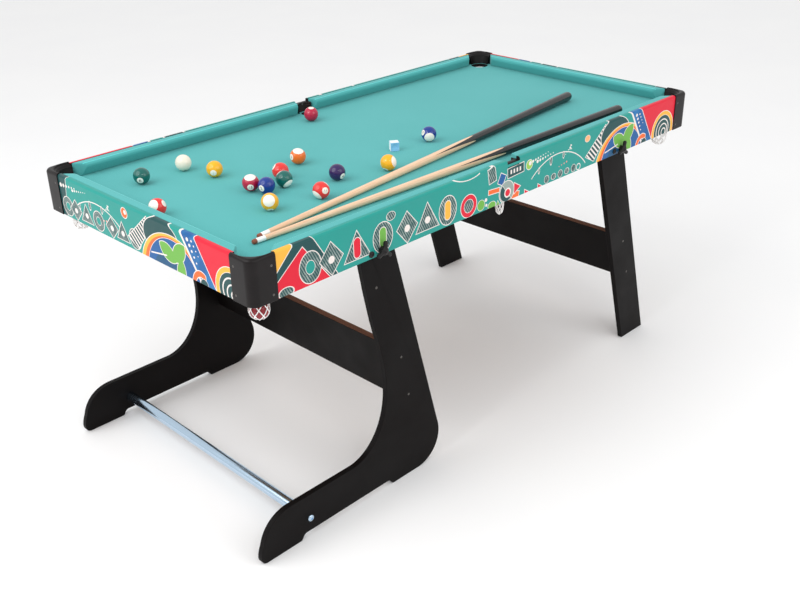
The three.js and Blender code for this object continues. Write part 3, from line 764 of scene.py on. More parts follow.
def picture(p, u):
    """The right end's scene: a striped fan, arcs over a blue field, a blue band, a red panel and a ring."""
    fan = p.both(p.past(u - 10 * MM, 60 * MM, 129), p.past(u + 36 * MM, 83 * MM, 40),
                 p.past(u + 14 * MM, 41 * MM, -42), p.past(u - 32 * MM, 17 * MM, -118))
    across_ribs = p.vector("DOT_PRODUCT", p.point, (0.67, 0.74, 0), output=1)
    ribs = p.math("SINE", p.math("MULTIPLY", across_ribs, 620.0))
    p.lay(fan, p.mix(p.math("GREATER_THAN", ribs, -0.15), PALE, PRINT_DARK), OUTLINE)
    p.lay(p.ellipse(u + 76 * MM, 58 * MM, 62 * MM, 42 * MM), PRINT_DARK, OUTLINE)
    field_u, field_v = u + 112 * MM, -29 * MM
    p.lay(p.ellipse(field_u, field_v, 119 * MM, 103 * MM), PRINT_YELLOW, OUTLINE)
    p.lay(p.ellipse(field_u, field_v, 108 * MM, 98 * MM), PRINT_ORANGE, 0)
    field = p.ellipse(field_u, field_v, 95 * MM, 94 * MM)
    p.lay(field, PRINT_BLUE, THIN)
    dark_leaf = p.ellipse(u + 100 * MM, -26 * MM, 62 * MM, 58 * MM)
    p.lay(p.both(field, dark_leaf), p.mix(0.5, PRINT_BLUE, PRINT_DARK), 0)
    leaf_shape(p, u)
    worm = p.band(p.ellipse(u + 206 * MM, -10 * MM, 25 * MM, 30 * MM), 10 * MM)
    right_of = 32 + 180  # which way the slanted edges of the blue band and the red panel face
    p.lay(p.past(u + 144 * MM, 96 * MM, right_of), PALE)
    band_tone = p.mix(p.spread(p.noise(30, 2), 0.4, 0.6), PRINT_BLUE, (0.02, 0.17, 0.42))
    p.lay(p.past(u + 151 * MM, 96 * MM, right_of), band_tone)
    p.dots(u + 172 * MM, 84 * MM, 6 * MM, -11 * MM, 5, 4.2 * MM)
    p.dots(u + 186 * MM, 84 * MM, 6 * MM, -9 * MM, 4, 2.4 * MM)
    p.lay(p.both(worm, p.past(u + 222 * MM, 0, 0)), PRINT_ORANGE, OUTLINE)
    p.lay(p.ellipse(u + 216 * MM, -2 * MM, 13 * MM, 14 * MM), PRINT_DARK, THIN)
    p.lay(p.past(u + 193 * MM, 96 * MM, right_of), PALE)
    p.lay(p.past(u + 195.5 * MM, 96 * MM, right_of), PRINT_RED)
    ring(p, u + 307 * MM, 13 * MM)


def leaf_shape(p, u):
    """Three green leaves on one stem over the blue field."""
    leaves = p.either(
        p.both(p.ellipse(u + 88 * MM, 18 * MM, 36 * MM), p.ellipse(u + 106 * MM, 50 * MM, 36 * MM)),
        p.both(p.ellipse(u + 150 * MM, 30 * MM, 36 * MM), p.ellipse(u + 124 * MM, 56 * MM, 36 * MM)),
        p.both(p.ellipse(u + 162 * MM, -2 * MM, 38 * MM), p.ellipse(u + 112 * MM, 6 * MM, 42 * MM)),
    )
    p.lay(leaves, PRINT_GREEN, OUTLINE)
    stem = p.both(p.band(p.past(u + 70 * MM, 22 * MM, 99), 3.2 * MM), p.past(u + 33 * MM, 0, 180),
                  p.past(u + 92 * MM, 0, 0))
    p.lay(stem, PALE)


def ring(p, u, v):
    """A yellow ring round a dark disc with a pale coil in it."""
    p.lay(p.ellipse(u, v, 52 * MM), PRINT_YELLOW, OUTLINE)
    p.lay(p.ellipse(u, v, 41 * MM), PRINT_DARK, THIN)
    for k, radius in enumerate((30, 20, 10)):
        shift = 3 * MM * k
        p.lay(p.band(p.ellipse(u + shift, v - shift, radius * MM), 3.4 * MM), PALE)


def front_print(name, along, start):
    """Along a long side: corner chevron, big shapes, target, wheel of blocks, flourish and the picture."""
    p = Print(name, along, start)
    flourish(p, 825 * MM)
    p.lay(p.past(157 * MM, 89 * MM, 32), PRINT_DARK, OUTLINE)
    p.lay(p.both(p.past(93 * MM, 57 * MM, 129), p.past(166 * MM, 34 * MM, 37.5)), PRINT_RED, OUTLINE)
    p.lay(p.past(84 * MM, 76 * MM, -45), PRINT_YELLOW, OUTLINE)
    places = [(u * MM, colour) for u, colour in (
        (144, None), (198, None), (267, PRINT_RED), (339, PRINT_GREEN), (410, None), (472, None),
        (536, PRINT_YELLOW))]
    big_shapes(p, places, 65 * MM, 27 * MM, 5 * MM)
    p.lay(p.ellipse(82 * MM, 6 * MM, 17 * MM, 10 * MM), p.hatching, OUTLINE)
    p.lay(p.ellipse(363 * MM, 77 * MM, 12 * MM, 9 * MM), p.hatching, THIN)
    # target and bubbles
    p.lay(p.ellipse(605 * MM, 27 * MM, 26 * MM), PRINT_RED, OUTLINE)
    p.lay(p.ellipse(605 * MM, 27 * MM, 15 * MM), p.hatching, THIN)
    p.lay(p.ellipse(647 * MM, 16 * MM, 12 * MM), PRINT_GREEN, THIN)
    p.dots(664 * MM, 24 * MM, 1.5 * MM, -13 * MM, 3, 4.4 * MM)
    # blocks round a grey wheel
    p.lay(p.tilted_block(692 * MM, 37 * MM, 19 * MM, 5 * MM, -4), PRINT_ORANGE, OUTLINE)
    p.lay(p.tilted_block(719 * MM, 58 * MM, 12 * MM, 10 * MM, 62), PRINT_BLUE, OUTLINE)
    p.lay(p.tilted_block(684 * MM, 77 * MM, 17 * MM, 12 * MM, 100), p.hatching, OUTLINE)
    p.lay(p.tilted_block(770 * MM, 6 * MM, 12 * MM, 9 * MM, -14), PRINT_ORANGE, OUTLINE)
    p.lay(p.ellipse(685 * MM, 5 * MM, 13 * MM, 9 * MM), PRINT_GREEN, THIN)
    p.lay(p.triangle(706 * MM, -2 * MM, 12 * MM, 90), PRINT_GREEN, THIN)
    for u, v in ((772, 24), (863, -4), (812, -4)):
        p.lay(p.triangle(u * MM, v * MM, 15 * MM, 0), PRINT_RED, OUTLINE)
    p.lay(p.ellipse(737 * MM, 23 * MM, 26 * MM), PRINT_GREY, OUTLINE)
    p.lay(p.both(p.ellipse(737 * MM, 23 * MM, 23 * MM), p.past(735 * MM, 25 * MM, 40)), PRINT_DARK, THIN)
    p.lay(p.ellipse(741 * MM, 20 * MM, 12 * MM), PALE)
    p.lay(p.ellipse(741 * MM, 20 * MM, 8.5 * MM), PRINT_RED)
    # dark plate with plain bars, pale streamers and a lime disc
    p.lay(p.tilted_block(769 * MM, 67 * MM, 29 * MM, 11 * MM, 3), PRINT_DARK, OUTLINE)
    for k in range(4):
        p.lay(p.tilted_block((752 + 11 * k) * MM, 67 * MM, 2.6 * MM, 5 * MM, 3), PALE)
    p.lay(p.ellipse(819 * MM, 67 * MM, 11 * MM), (0.30, 0.55, 0.08), OUTLINE)
    p.lay(p.ellipse(822 * MM, 70 * MM, 5.5 * MM), PALE)
    streamer = p.both(p.band(p.ellipse(606 * MM, 172 * MM, 100 * MM, 84 * MM), 2.2 * MM),
                      p.past(534 * MM, 0, 180), p.past(642 * MM, 0, 0))
    p.lay(streamer, PALE)
    p.dots(850 * MM, 67 * MM, 10 * MM, 1 * MM, 7, 4.2 * MM)
    p.lay(p.ellipse(1051 * MM, 74 * MM, 10 * MM, 8 * MM), (0.90, 0.45, 0.20), THIN)
    for k in range(5):
        p.lay(p.ellipse((889 + 27 * k) * MM, 12 * MM, 8.5 * MM, (9 - k % 2 * 2) * MM), p.hatching, THIN)
    p.lay(p.band(p.ellipse(1018 * MM, 10 * MM, 8 * MM), 2.4 * MM), PALE)
    picture(p, 1098 * MM)
    return p.finished()


def end_print(name, along, start):
    """Across an end: dark corner, a row of small shapes under a flourish, and the picture."""
    p = Print(name, along, start)
    flourish(p, 112 * MM)
    p.lay(p.past(86 * MM, 48 * MM, -10), PRINT_DARK, OUTLINE)
    p.dots(70 * MM, 74 * MM, 12 * MM, 1 * MM, 6, 5 * MM)
    places = [(u * MM, None) for u in (89, 124, 170, 220, 274, 317, 365)]
    big_shapes(p, places, 44 * MM, 21 * MM, 5 * MM)
    p.lay(p.ellipse(334 * MM, 77 * MM, 11 * MM), PRINT_ORANGE, OUTLINE)
    p.lay(p.ellipse(337 * MM, 79 * MM, 5 * MM), PALE)
    picture(p, 389.5 * MM)
    return p.finished()


CLOTH = cloth_material("teal_cloth", 1.0)
# A paler copy of the cloth: a painted highlight along the cushions' upper nose edge.
PAINTED_HIGHLIGHT_CLOTH = cloth_material("painted_highlight_cloth", 1.6)
BLACK_PLASTIC = plastic_material("black_plastic", (0.0060, 0.0040, 0.0042), 0.34)
# Darker plastic for inside the corner pocket funnels: painted shade.
SHADED_INNER_PLASTIC = plastic_material("painted_shade_plastic", (0.0042, 0.0032, 0.0030), 0.5)
KNOB_PLASTIC = plastic_material("knob_plastic", (0.012, 0.011, 0.011), 0.3, 0.05)
BLACK_BOARD = foil_board_material()
RAW_EDGE = raw_board_material("raw_edge", (0.235, 0.110, 0.068), (0.150, 0.066, 0.040))
RAW_BOARD = raw_board_material("raw_board", (0.30, 0.175, 0.095), (0.20, 0.11, 0.055))
# The near-black finish of the aprons' inner faces above the bed and of the bed board's edges.
DARK_EDGE = plastic_material("near_black_edge", (0.006, 0.004, 0.004), 0.8)
CHROME = chrome_material()
NET = net_material()
CHALK = chalk_material()
PAPER = paper_material()
FRONT_PRINT = front_print("front_print", (1, 0, 0), LEFT)
BACK_PRINT = front_print("back_print", (-1, 0, 0), -RIGHT)
LEFT_PRINT = end_print("left_print", (0, -1, 0), FRONT)
RIGHT_PRINT = end_print("right_print", (0, 1, 0), FRONT)


# ---------- aprons ----------
def apron(node, origin, along, outwards, length, print_material, cutters):
    """A board with a rounded outer top edge. origin is on the outer face, along and outwards are its axes."""
    inner = APRON_THICKNESS
    top = RAIL_TOP
    bed_low, bed_high = low("bed_panel").z, high("bed_panel").z
    groove = inner - 4 * MM
    section = fillet(
        [(0, APRON_BOTTOM), (inner, APRON_BOTTOM), (inner, bed_low - GAP), (groove, bed_low - GAP),
         (groove, bed_high + GAP), (inner, bed_high + GAP), (inner, top), (0, top)],
        [1 * MM, 0.8 * MM, 0, 0, 0, 0, 0.5 * MM, 8 * MM], 10)
    stations = 40
    rows = []
    for i in range(stations + 1):
        t = i / stations * length
        rows.append([origin + along * t - outwards * p.x + UP * p.y for p in section])
    points, faces = grid(rows)
    piece = mesh_piece(node + "_printed", points, faces, [print_material, RAW_BOARD, DARK_EDGE], sharp=25)
    carve(piece, cutters)
    for polygon in piece.data.polygons:
        looks_out = polygon.normal.dot(outwards) > 0.05
        on_top = polygon.normal.z > 0.5 and polygon.center.z > LIP_BOTTOM
        above_bed = polygon.center.z > CLOTH_TOP + MM
        polygon.material_index = 0 if looks_out or on_top else (2 if above_bed else 1)
    reshade(piece, 25)
    settle(piece, "tabletop", node, slot="printed_apron")


def reshade(piece, sharp):
    bm = bmesh.new()
    bm.from_mesh(piece.data)
    finish_mesh(bm, piece.data, sharp)
    weigh_normals(piece)


def long_apron(node, side, print_material):
    lo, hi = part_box(node)
    face = lo.y if side < 0 else hi.y
    deep0, deep1 = lo.y - MM, hi.y + MM
    reach = CAP_REACH + GAP
    cut_low = LIP_BOTTOM - GAP
    notch = (high("side_pocket_liner_front").x - low("side_pocket_liner_front").x) / 2 + GAP
    cutters = [
        block(lo.x - MM, LEFT + reach, deep0, deep1, cut_low, RAIL_TOP + MM),
        block(RIGHT - reach, hi.x + MM, deep0, deep1, cut_low, RAIL_TOP + MM),
        block(CENTRE_X - notch, CENTRE_X + notch, deep0, deep1, cut_low, RAIL_TOP + MM),
    ]
    for end in ("left", "right"):
        knob = JOINTS["lock_knob_%s_%s_turn" % ("front" if side < 0 else "back", end)]["pos_m"]
        bolt = middle("pivot_bolt_%s_%s" % ("front" if side < 0 else "back", end))
        for x, z in ((knob[0], knob[2]), (bolt.x, bolt.z)):
            cutters.append(turned([(0, 0), (4.3 * MM, 0), (4.3 * MM, 14 * MM), (0, 14 * MM)],
                                  (x, lo.y - 1.5 * MM, z), (0, 1, 0), 24))
    along = Vector((-side, 0, 0))
    origin = Vector((lo.x if side < 0 else hi.x, face, 0))
    apron(node, origin, along, Vector((0, side, 0)), hi.x - lo.x, print_material, cutters)


def end_apron(node, side, print_material):
    lo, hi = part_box(node)
    reach = CAP_REACH + GAP
    cut_low = LIP_BOTTOM - GAP
    cutters = [
        block(lo.x - MM, hi.x + MM, lo.y - MM, FRONT + reach, cut_low, RAIL_TOP + MM),
        block(lo.x - MM, hi.x + MM, BACK - reach, hi.y + MM, cut_low, RAIL_TOP + MM),
    ]
    face = lo.x if side < 0 else hi.x
    origin = Vector((face, hi.y if side < 0 else lo.y, 0))
    apron(node, origin, Vector((0, side, 0)), Vector((side, 0, 0)), hi.y - lo.y, print_material, cutters)


long_apron("apron_front", -1, FRONT_PRINT)
long_apron("apron_back", 1, BACK_PRINT)
end_apron("apron_left", -1, LEFT_PRINT)
end_apron("apron_right", 1, RIGHT_PRINT)


# ---------- bed ----------
CORNER_POCKET, SIDE_POCKET = 26 * MM, 20.5 * MM  # radii of the pocket holes
POCKETS = [("front_left", CORNER_POCKET), ("front_right", CORNER_POCKET), ("back_right", CORNER_POCKET),
           ("back_left", CORNER_POCKET), ("front_middle", SIDE_POCKET), ("back_middle", SIDE_POCKET)]


def bed_cloth():
    """The cloth over the bed: one sheet with a round hole at each pocket."""
    lo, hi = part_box("bed_cloth")
    corner = 30.6 * MM
    outline = [Vector(p) for p in (
        (lo.x + corner, lo.y), (hi.x - corner, lo.y), (hi.x, lo.y + corner), (hi.x, hi.y - corner),
        (hi.x - corner, hi.y), (lo.x + corner, hi.y), (lo.x, hi.y - corner), (lo.x, lo.y + corner))]
    holes = [(middle("net_%s" % name), radius) for name, radius in POCKETS]
    loops = [outline]
    sides = 72
    for centre, radius in holes:
        angles = [-TAU * k / sides for k in range(sides)]
        loops.append([
            Vector((centre.x + radius * math.cos(a), centre.y + radius * math.sin(a))) for a in angles
        ])
    points, faces = [], []
    starts = []
    for loop in loops:
        starts.append(len(points))
        for z in (hi.z, lo.z):
            points += [Vector((p.x, p.y, z)) for p in loop]
    for last in (0, 1):
        index = []
        for loop, start in zip(loops, starts):
            index += [start + last * len(loop) + j for j in range(len(loop))]
        cover = tessellate_polygon([[Vector((p.x, p.y, 0)) for p in loop] for loop in loops])
        faces += [tuple(index[i] for i in triangle) for triangle in cover]
    for loop, start in zip(loops, starts):
        count = len(loop)
        for j in range(count):
            a, b = start + j, start + (j + 1) % count
            faces.append((a, b, b + count, a + count))
    piece = mesh_piece("cloth_on_bed", points, faces, [CLOTH])
    settle(piece, "tabletop", "bed_cloth", slot="table_cloth")


bed_cloth()


# ---------- cushions ----------
SECTION_STEPS = 6
NOSE_CORNER = 4  # the corner of the section at the top of the nose


def cushion_section():
    """Depth from the rail towards the nose, and height, with every corner rounded."""
    lo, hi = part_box("cushion_left")
    depth = hi.x - lo.x
    nose = CLOTH_TOP + 26.5 * MM
    return fillet(
        [(0, lo.z), (depth - 11 * MM, lo.z), (depth, nose - 5 * MM), (depth, nose),
         (depth - 5 * MM, hi.z), (0, hi.z)],
        [0.5 * MM, 2 * MM, 3 * MM, 4 * MM, 7 * MM, 2 * MM], SECTION_STEPS)


def cushion(node, origin, along, inwards, start, end, start_slope, end_slope):
    """A cloth-covered cushion. start and end are distances along from the origin at the rail;
    each end moves by its slope for every metre towards the nose."""
    section = cushion_section()
    nose_start = NOSE_CORNER * (SECTION_STEPS + 1)
    centre = sum(section, Vector((0, 0))) / len(section)
    random.seed(node)
    phase = random.random() * TAU
    offsets = [(0, 2.2), (0.35, 1.2), (0.9, 0.55), (1.8, 0.14), (3.0, 0)]
    places = [(o * MM, r * MM) for o, r in offsets]
    length = end - start
    inner_count = max(8, int(length / (18 * MM)))
    places += [(3 * MM + (length - 6 * MM) * k / inner_count, 0) for k in range(1, inner_count)]
    places += [(length - o * MM, r * MM) for o, r in reversed(offsets)]
    rows = []
    for place, shrink in places:
        t = place / length
        row = []
        for p in section:
            towards = centre - p
            q = p + towards.normalized() * shrink
            pull = start_slope * (1 - t) + end_slope * t
            sag = 0.12 * MM * math.sin(34 * place + phase) * (1 if p.x > 18 * MM else 0)
            row.append(origin + along * (start + place + pull * q.x) + inwards * (q.x + sag) + UP * q.y)
        rows.append(row)
    points, faces = grid(rows)
    count = len(section)
    nose_line = range(nose_start + 2, nose_start + 4)  # where the section turns over the upper nose edge
    # Faces over the upper nose edge take the paler cloth: a painted highlight along the nose.
    slots = [1 if i < (len(rows) - 1) * count and i % count in nose_line else 0 for i in range(len(faces))]
    piece = mesh_piece(node + "_cloth", points, faces, [CLOTH, PAINTED_HIGHLIGHT_CLOTH], slots, sharp=60)
    settle(piece, "tabletop", node, slot="table_cloth")


def all_cushions():
    corner = 63 * MM
    side_end = 22.6 * MM
    for name, side in (("front", -1), ("back", 1)):
        rail = low("cushion_front_left").y if side < 0 else high("cushion_back_left").y
        inwards = Vector((0, -side, 0))
        origin = Vector((0, rail, 0))
        along = Vector((1, 0, 0))
        cushion("cushion_%s_left" % name, origin, along, inwards,
                LEFT + corner, CENTRE_X - side_end, 1.0, -0.45)
        cushion("cushion_%s_right" % name, origin, along, inwards,
                CENTRE_X + side_end, RIGHT - corner, 0.45, -1.0)
    for name, side in (("left", -1), ("right", 1)):
        node = "cushion_" + name
        rail = low(node).x if side < 0 else high(node).x
        cushion(node, Vector((rail, 0, 0)), Vector((0, 1, 0)), Vector((-side, 0, 0)),
                FRONT + corner, BACK - corner, 1.0, -1.0)


all_cushions()


# ---------- corner caps and side liners ----------
SCREW_STEEL = plastic_material("screw_steel", (0.16, 0.15, 0.14), 0.42, 0.1)
SCREW_STEEL.node_tree.nodes["Principled BSDF"].inputs["Metallic"].default_value = 0.85
LINER_PLASTIC = plastic_material("liner_plastic", (0.014, 0.0085, 0.0070), 0.42)


def screw_head(place, direction, radius=3.2 * MM, proud=0.7 * MM, turn=0.3):
    """A domed head with a cross recess, made as one polar grid."""
    ahead = Vector(direction).normalized()
    side, other = basis(ahead)
    rings, sides = 12, 48
    rows = [[Vector(place) - ahead * 1.5 * MM
             + (side * math.cos(TAU * k / sides) + other * math.sin(TAU * k / sides)) * radius
             for k in range(sides)]]
    for i in range(rings):
        r = radius * (1 - i / rings)
        row = []
        for k in range(sides):
            a = TAU * k / sides + turn
            x, y = r * math.cos(a), r * math.sin(a)
            dome = proud * (1 - (r / radius) ** 2 * 0.8)
            arm = min(abs(x), abs(y))
            in_cross = arm < radius * 0.13 and r < radius * 0.62
            depth = -0.5 * MM if in_cross else dome
            row.append(Vector(place) + ahead * depth + side * x + other * y)
        rows.append(row)
    return grid(rows)


POCKET_INSET = 48.5 * MM  # from both outer faces to the middle of a corner pocket
CAP_SKIN = 2.2 * MM
CAP_RADIUS = 20 * MM  # of the upright corner
CAP_EDGE = 8 * MM  # of the round-over along the top
CAP_ROLL = 3.5 * MM  # of the pocket mouth's lip
CAP_MOUTH = 41.5 * MM  # radius of the mouth at the lip


def cap_wall(share, depth):
    """A point of the cap's outer wall, moved inwards. share runs from -1 at one end to 1 at the other."""
    straight = CAP_REACH - CAP_RADIUS
    arc = CAP_RADIUS * math.pi / 2
    travel = abs(share) * (straight + arc / 2)
    if travel < arc / 2:
        angle = math.radians(225) + travel / CAP_RADIUS
        r = CAP_RADIUS - depth
        point = Vector((CAP_RADIUS + r * math.cos(angle), CAP_RADIUS + r * math.sin(angle)))
    else:
        point = Vector((CAP_RADIUS + travel - arc / 2, depth))
    return point if share > 0 else Vector((point.y, point.x))


def cap_mouth(share, radius):
    """A point of the pocket mouth's circle, opposite that point of the wall."""
    reach = CAP_REACH - POCKET_INSET
    angle = math.radians(225) + share * (math.radians(135) - math.acos(min(1, reach / radius)))
    return Vector((POCKET_INSET + radius * math.cos(angle), POCKET_INSET + radius * math.sin(angle)))


def cap_profile():
    """The cap's section as (place, height). place is ('wall', depth), ('edge', share of the round-over),
    ('roll', share of the mouth's roll) or ('mouth', radius)."""
    low_mouth, high_mouth = CORNER_POCKET, 32 * MM
    bottom = CLOTH_TOP + GAP
    rows = [(("wall", 0.6 * MM), APRON_BOTTOM), (("wall", 0), APRON_BOTTOM + 0.6 * MM)]
    wall_top = CAP_TOP - CAP_EDGE
    rows += [(("wall", 0), APRON_BOTTOM + (wall_top - APRON_BOTTOM) * k / 6) for k in range(1, 6)]
    rows += [(("edge", 1 - math.cos(a)), wall_top + CAP_EDGE * math.sin(a))
             for a in quarter(10)]
    rows += [(("roll", 1 - math.sin(a)), CAP_TOP - CAP_ROLL * (1 - math.cos(a)))
             for a in quarter(6)]
    for k in range(1, 9):
        t = k / 8
        ease = t * t * (3 - 2 * t)
        radius = CAP_MOUTH + (high_mouth - CAP_MOUTH) * min(1, t * 1.15)
        rows.append((("mouth", radius), CAP_TOP - CAP_ROLL - (CAP_TOP - CAP_ROLL - LIP_BOTTOM) * ease))
    for k in range(1, 7):
        t = k / 6
        radius = high_mouth + (low_mouth - high_mouth) * t
        rows.append((("mouth", radius), LIP_BOTTOM + (bottom - LIP_BOTTOM) * t))
    rows += [(("mouth", low_mouth + CAP_SKIN), bottom), (("mouth", high_mouth + CAP_SKIN), LIP_BOTTOM)]
    rows += [(("wall", CAP_SKIN), LIP_BOTTOM), (("wall", CAP_SKIN), APRON_BOTTOM)]
    return rows


def corner_cap(name, sx, sy):
    corner = Vector((LEFT if sx < 0 else RIGHT, FRONT if sy < 0 else BACK))
    stations = 64
    profile = cap_profile()
    rows = []
    for i in range(stations + 1):
        share = -1 + 2 * i / stations
        land = (cap_mouth(share, CAP_MOUTH) - cap_wall(share, 0)).length
        row = []
        for (kind, size), z in profile:
            if kind == "wall":
                p = cap_wall(share, size)
            elif kind == "edge":
                p = cap_wall(share, min(CAP_EDGE, land * 0.58) * size)
            elif kind == "roll":
                p = cap_mouth(share, CAP_MOUTH + min(CAP_ROLL, land * 0.3) * size)
            else:
                p = cap_mouth(share, size)
            row.append(Vector((corner.x - sx * p.x, corner.y - sy * p.y, z)))
        rows.append(row)
    points, faces = grid(rows)
    count = len(profile)
    kinds = [kind for (kind, _), _ in profile]
    funnel = [k for k in range(count) if kinds[k] == "mouth"]
    # Funnel faces below the lip take the darker plastic: painted shade inside the pocket.
    slots = [1 if i < stations * count and i % count in funnel[2:] else 0 for i in range(len(faces))]
    piece = mesh_piece("moulded_cap_" + name, points, faces, [BLACK_PLASTIC, SHADED_INNER_PLASTIC], slots, sharp=40)
    settle(piece, "tabletop", "corner_cap_" + name, slot="black_plastic")


CORNERS = [("front_left", -1, -1), ("front_right", 1, -1), ("back_right", 1, 1), ("back_left", -1, 1)]
for corner_name, sign_x, sign_y in CORNERS:
    corner_cap(corner_name, sign_x, sign_y)


LINER_HALF = 22.2 * MM  # half the width of a side liner
LINER_REACH = 27 * MM  # from the table's face to the liner's open side
LINER_BACK = APRON_FACE + APRON_THICKNESS + GAP  # from the table's face to the liner's back
LINER_WALL = 2 * MM
FLANGE_DEEP = 10 * MM


def liner_outer(share, back, side):
    """A point of the U round a liner: across the back for the inner half of share, then along a side."""
    corner = 0.6
    reach = abs(share)
    half = LINER_HALF - side
    if reach < corner:
        point = (half * reach / corner, back)
    else:
        t = (reach - corner) / (1 - corner)
        point = (half, back + (LINER_REACH - back) * t)
    return Vector((math.copysign(point[0], share), point[1]))


def liner_inner(share, widen):
    """The same point on the U-shaped mouth, whose back corners are round."""
    radius = 10 * MM
    half = LINER_HALF - LINER_WALL + widen
    back = LINER_BACK + LINER_WALL - widen
    straight = half - radius
    arc = radius * math.pi / 2
    rest = LINER_REACH - back - radius
    travel = abs(share) * (straight + arc + rest)
    if travel < straight:
        point = (travel, back)
    elif travel < straight + arc:
        a = (travel - straight) / radius
        point = (straight + radius * math.sin(a), back + radius * (1 - math.cos(a)))
    else:
        point = (half, back + radius + travel - straight - arc)
    return Vector((math.copysign(point[0], share), point[1]))


def liner_profile():
    """Section of a side liner as (wall, back depth or widening, side rounding, height)."""
    top = high("side_pocket_liner_front").z
    bottom = CLOTH_TOP + GAP
    flange = top - FLANGE_DEEP
    edge = 8 * MM
    rows = [("outer", LINER_BACK, 0, bottom), ("outer", LINER_BACK, 0, flange - 0.1 * MM),
            ("outer", APRON_FACE, 0, flange), ("outer", APRON_FACE, 0, top - edge)]
    for k in range(1, 9):
        a = k / 8 * math.pi / 2
        rows.append(("outer", APRON_FACE + edge * (1 - math.cos(a)), 0.7 * MM * max(0, k - 5) / 3,
                     top - edge + edge * math.sin(a)))
    roll = 1.5 * MM
    for a in quarter(4):
        rows.append(("inner", roll * 0.6 * (1 - math.sin(a)), 0, top - roll * (1 - math.cos(a))))
    depth = top - roll - bottom
    steps = 44
    for k in range(1, steps + 1):
        t = k / steps
        ridge = 0.45 * MM * max(0.0, math.sin(t * 4 * TAU)) ** 2
        rows.append(("inner", -ridge, 0, top - roll - depth * t))
    return rows


def side_liner(name, side):
    node = "side_pocket_liner_" + name
    face = FRONT if side < 0 else BACK
    stations = 56
    profile = liner_profile()
    rows = []
    for i in range(stations + 1):
        share = -1 + 2 * i / stations
        row = []
        for kind, depth, rounding, z in profile:
            p = liner_outer(share, depth, rounding) if kind == "outer" else liner_inner(share, depth)
            row.append(Vector((CENTRE_X + p.x, face - side * p.y, z)))
        rows.append(row)
    points, faces = grid(rows)
    count = len(profile)
    inner = [k for k in range(count) if profile[k][0] == "inner"]
    slots = [1 if i < stations * count and i % count in inner[5:] else 0 for i in range(len(faces))]
    looks = [BLACK_PLASTIC, LINER_PLASTIC]
    piece = mesh_piece("moulded_liner_" + name, points, faces, looks, slots, sharp=40)
    settle(piece, "tabletop", node, slot="black_plastic")
    screw_at = Vector((CENTRE_X, face - side * (LINER_BACK + LINER_WALL), RAIL_TOP - 11 * MM))
    points, faces = screw_head(screw_at, (0, -side, 0), 2.6 * MM, 0.5 * MM)
    screw = mesh_piece("liner_screw_" + name, points, faces, [SCREW_STEEL], sharp=40)
    settle(screw, "tabletop", slot="chrome_steel")


side_liner("front", -1)
side_liner("back", 1)


# ---------- nets ----------
def net_radius(height, shape):
    """Radius of a net bag at a height above its foot, along straight lines between its shape's points."""
    for (r0, h0), (r1, h1) in zip(shape, shape[1:]):
        if height <= h1:
            return r0 + (r1 - r0) * (height - h0) / (h1 - h0)
    return shape[-1][0]


# Each shape lists radius and height above the foot, in metres, up to where the bag hangs straight.
CORNER_NET = [(0, 0), (10 * MM, 2 * MM), (17 * MM, 8.3 * MM), (20.3 * MM, 17.8 * MM), (20.3 * MM, 44.8 * MM),
              (22.5 * MM, 74.8 * MM), (24.5 * MM, 103 * MM)]
SIDE_NET = [(0, 0), (7 * MM, 5.5 * MM), (9.3 * MM, 17.5 * MM), (10.5 * MM, 49.5 * MM), (15 * MM, 73.5 * MM),
            (21 * MM, 99.5 * MM)]


def net_bag(name, strands, cord, shape, turn):
    """A bag of crossing cords, knotted where they meet, with a rim cord and a knot at the foot."""
    node = "net_" + name
    lo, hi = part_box(node)
    centre = (lo + hi) / 2
    total = hi.z - lo.z - 2 * cord
    foot = lo.z + cord
    rim = shape[-1][0] - cord
    parts = []
    steps = 60

    def on_bag(t, angle):
        height = total * (1 - t) ** 1.15
        r = min(rim, net_radius(height, shape))
        return Vector((centre.x + r * math.cos(angle), centre.y + r * math.sin(angle), foot + height))

    for way in (-1, 1):
        for k in range(strands):
            start = TAU * k / strands
            path = [on_bag(i / steps, start + way * turn * (i / steps)) for i in range(steps + 1)]
            parts.append(tube(path[:-1], cord, 8))
    knots = int(2 * turn / (TAU / strands))
    for row in range(1, knots):
        t = row / knots
        if t > 0.9:
            break
        for k in range(strands):
            angle = TAU * k / strands + turn * t
            spot = on_bag(t, angle)
            parts.append(turned([(0, -1.6 * cord), (1.2 * cord, -1.0 * cord), (1.6 * cord, 0),
                                 (1.2 * cord, 1.0 * cord), (0, 1.6 * cord)], spot, UP, 10))
    ring_path = [on_bag(0, TAU * k / 60) for k in range(60)]
    parts.append(tube(ring_path, cord * 1.2, 8, closed=True))
    foot_knot = [(0, -1.0 * cord), (2.2 * cord, 0), (2.6 * cord, 1.2 * cord), (1.6 * cord, 2.2 * cord),
                 (0, 2.6 * cord)]
    parts.append(turned(foot_knot, (centre.x, centre.y, foot), UP, 16))
    points, faces = joined(*parts)
    piece = mesh_piece("knotted_" + node, points, faces, [NET], sharp=70)
    settle(piece, "tabletop", node, slot="net_cord")
    return piece


for corner_name, _, _ in CORNERS:
    holds_ball = corner_name == "front_left"
    net_bag(corner_name, 7, (1.05 if holds_ball else 1.3) * MM, CORNER_NET, math.radians(185))
for side_name in ("front", "back"):
    side_net = net_bag(side_name + "_middle", 8, 0.9 * MM, SIDE_NET, math.radians(250))
    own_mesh(side_net)


# ---------- legs ----------
for side_name in ("front", "back"):
    leg = board_piece("moulded_l_leg_" + side_name, "l_leg_" + side_name, [BLACK_BOARD])
    settle(leg, "l_leg_frame", "l_leg_" + side_name, slot="black_board")
    leg = board_piece("board_straight_leg_" + side_name, "straight_leg_" + side_name, [BLACK_BOARD])
    settle(leg, "straight_leg_frame", "straight_leg_" + side_name, slot="black_board")


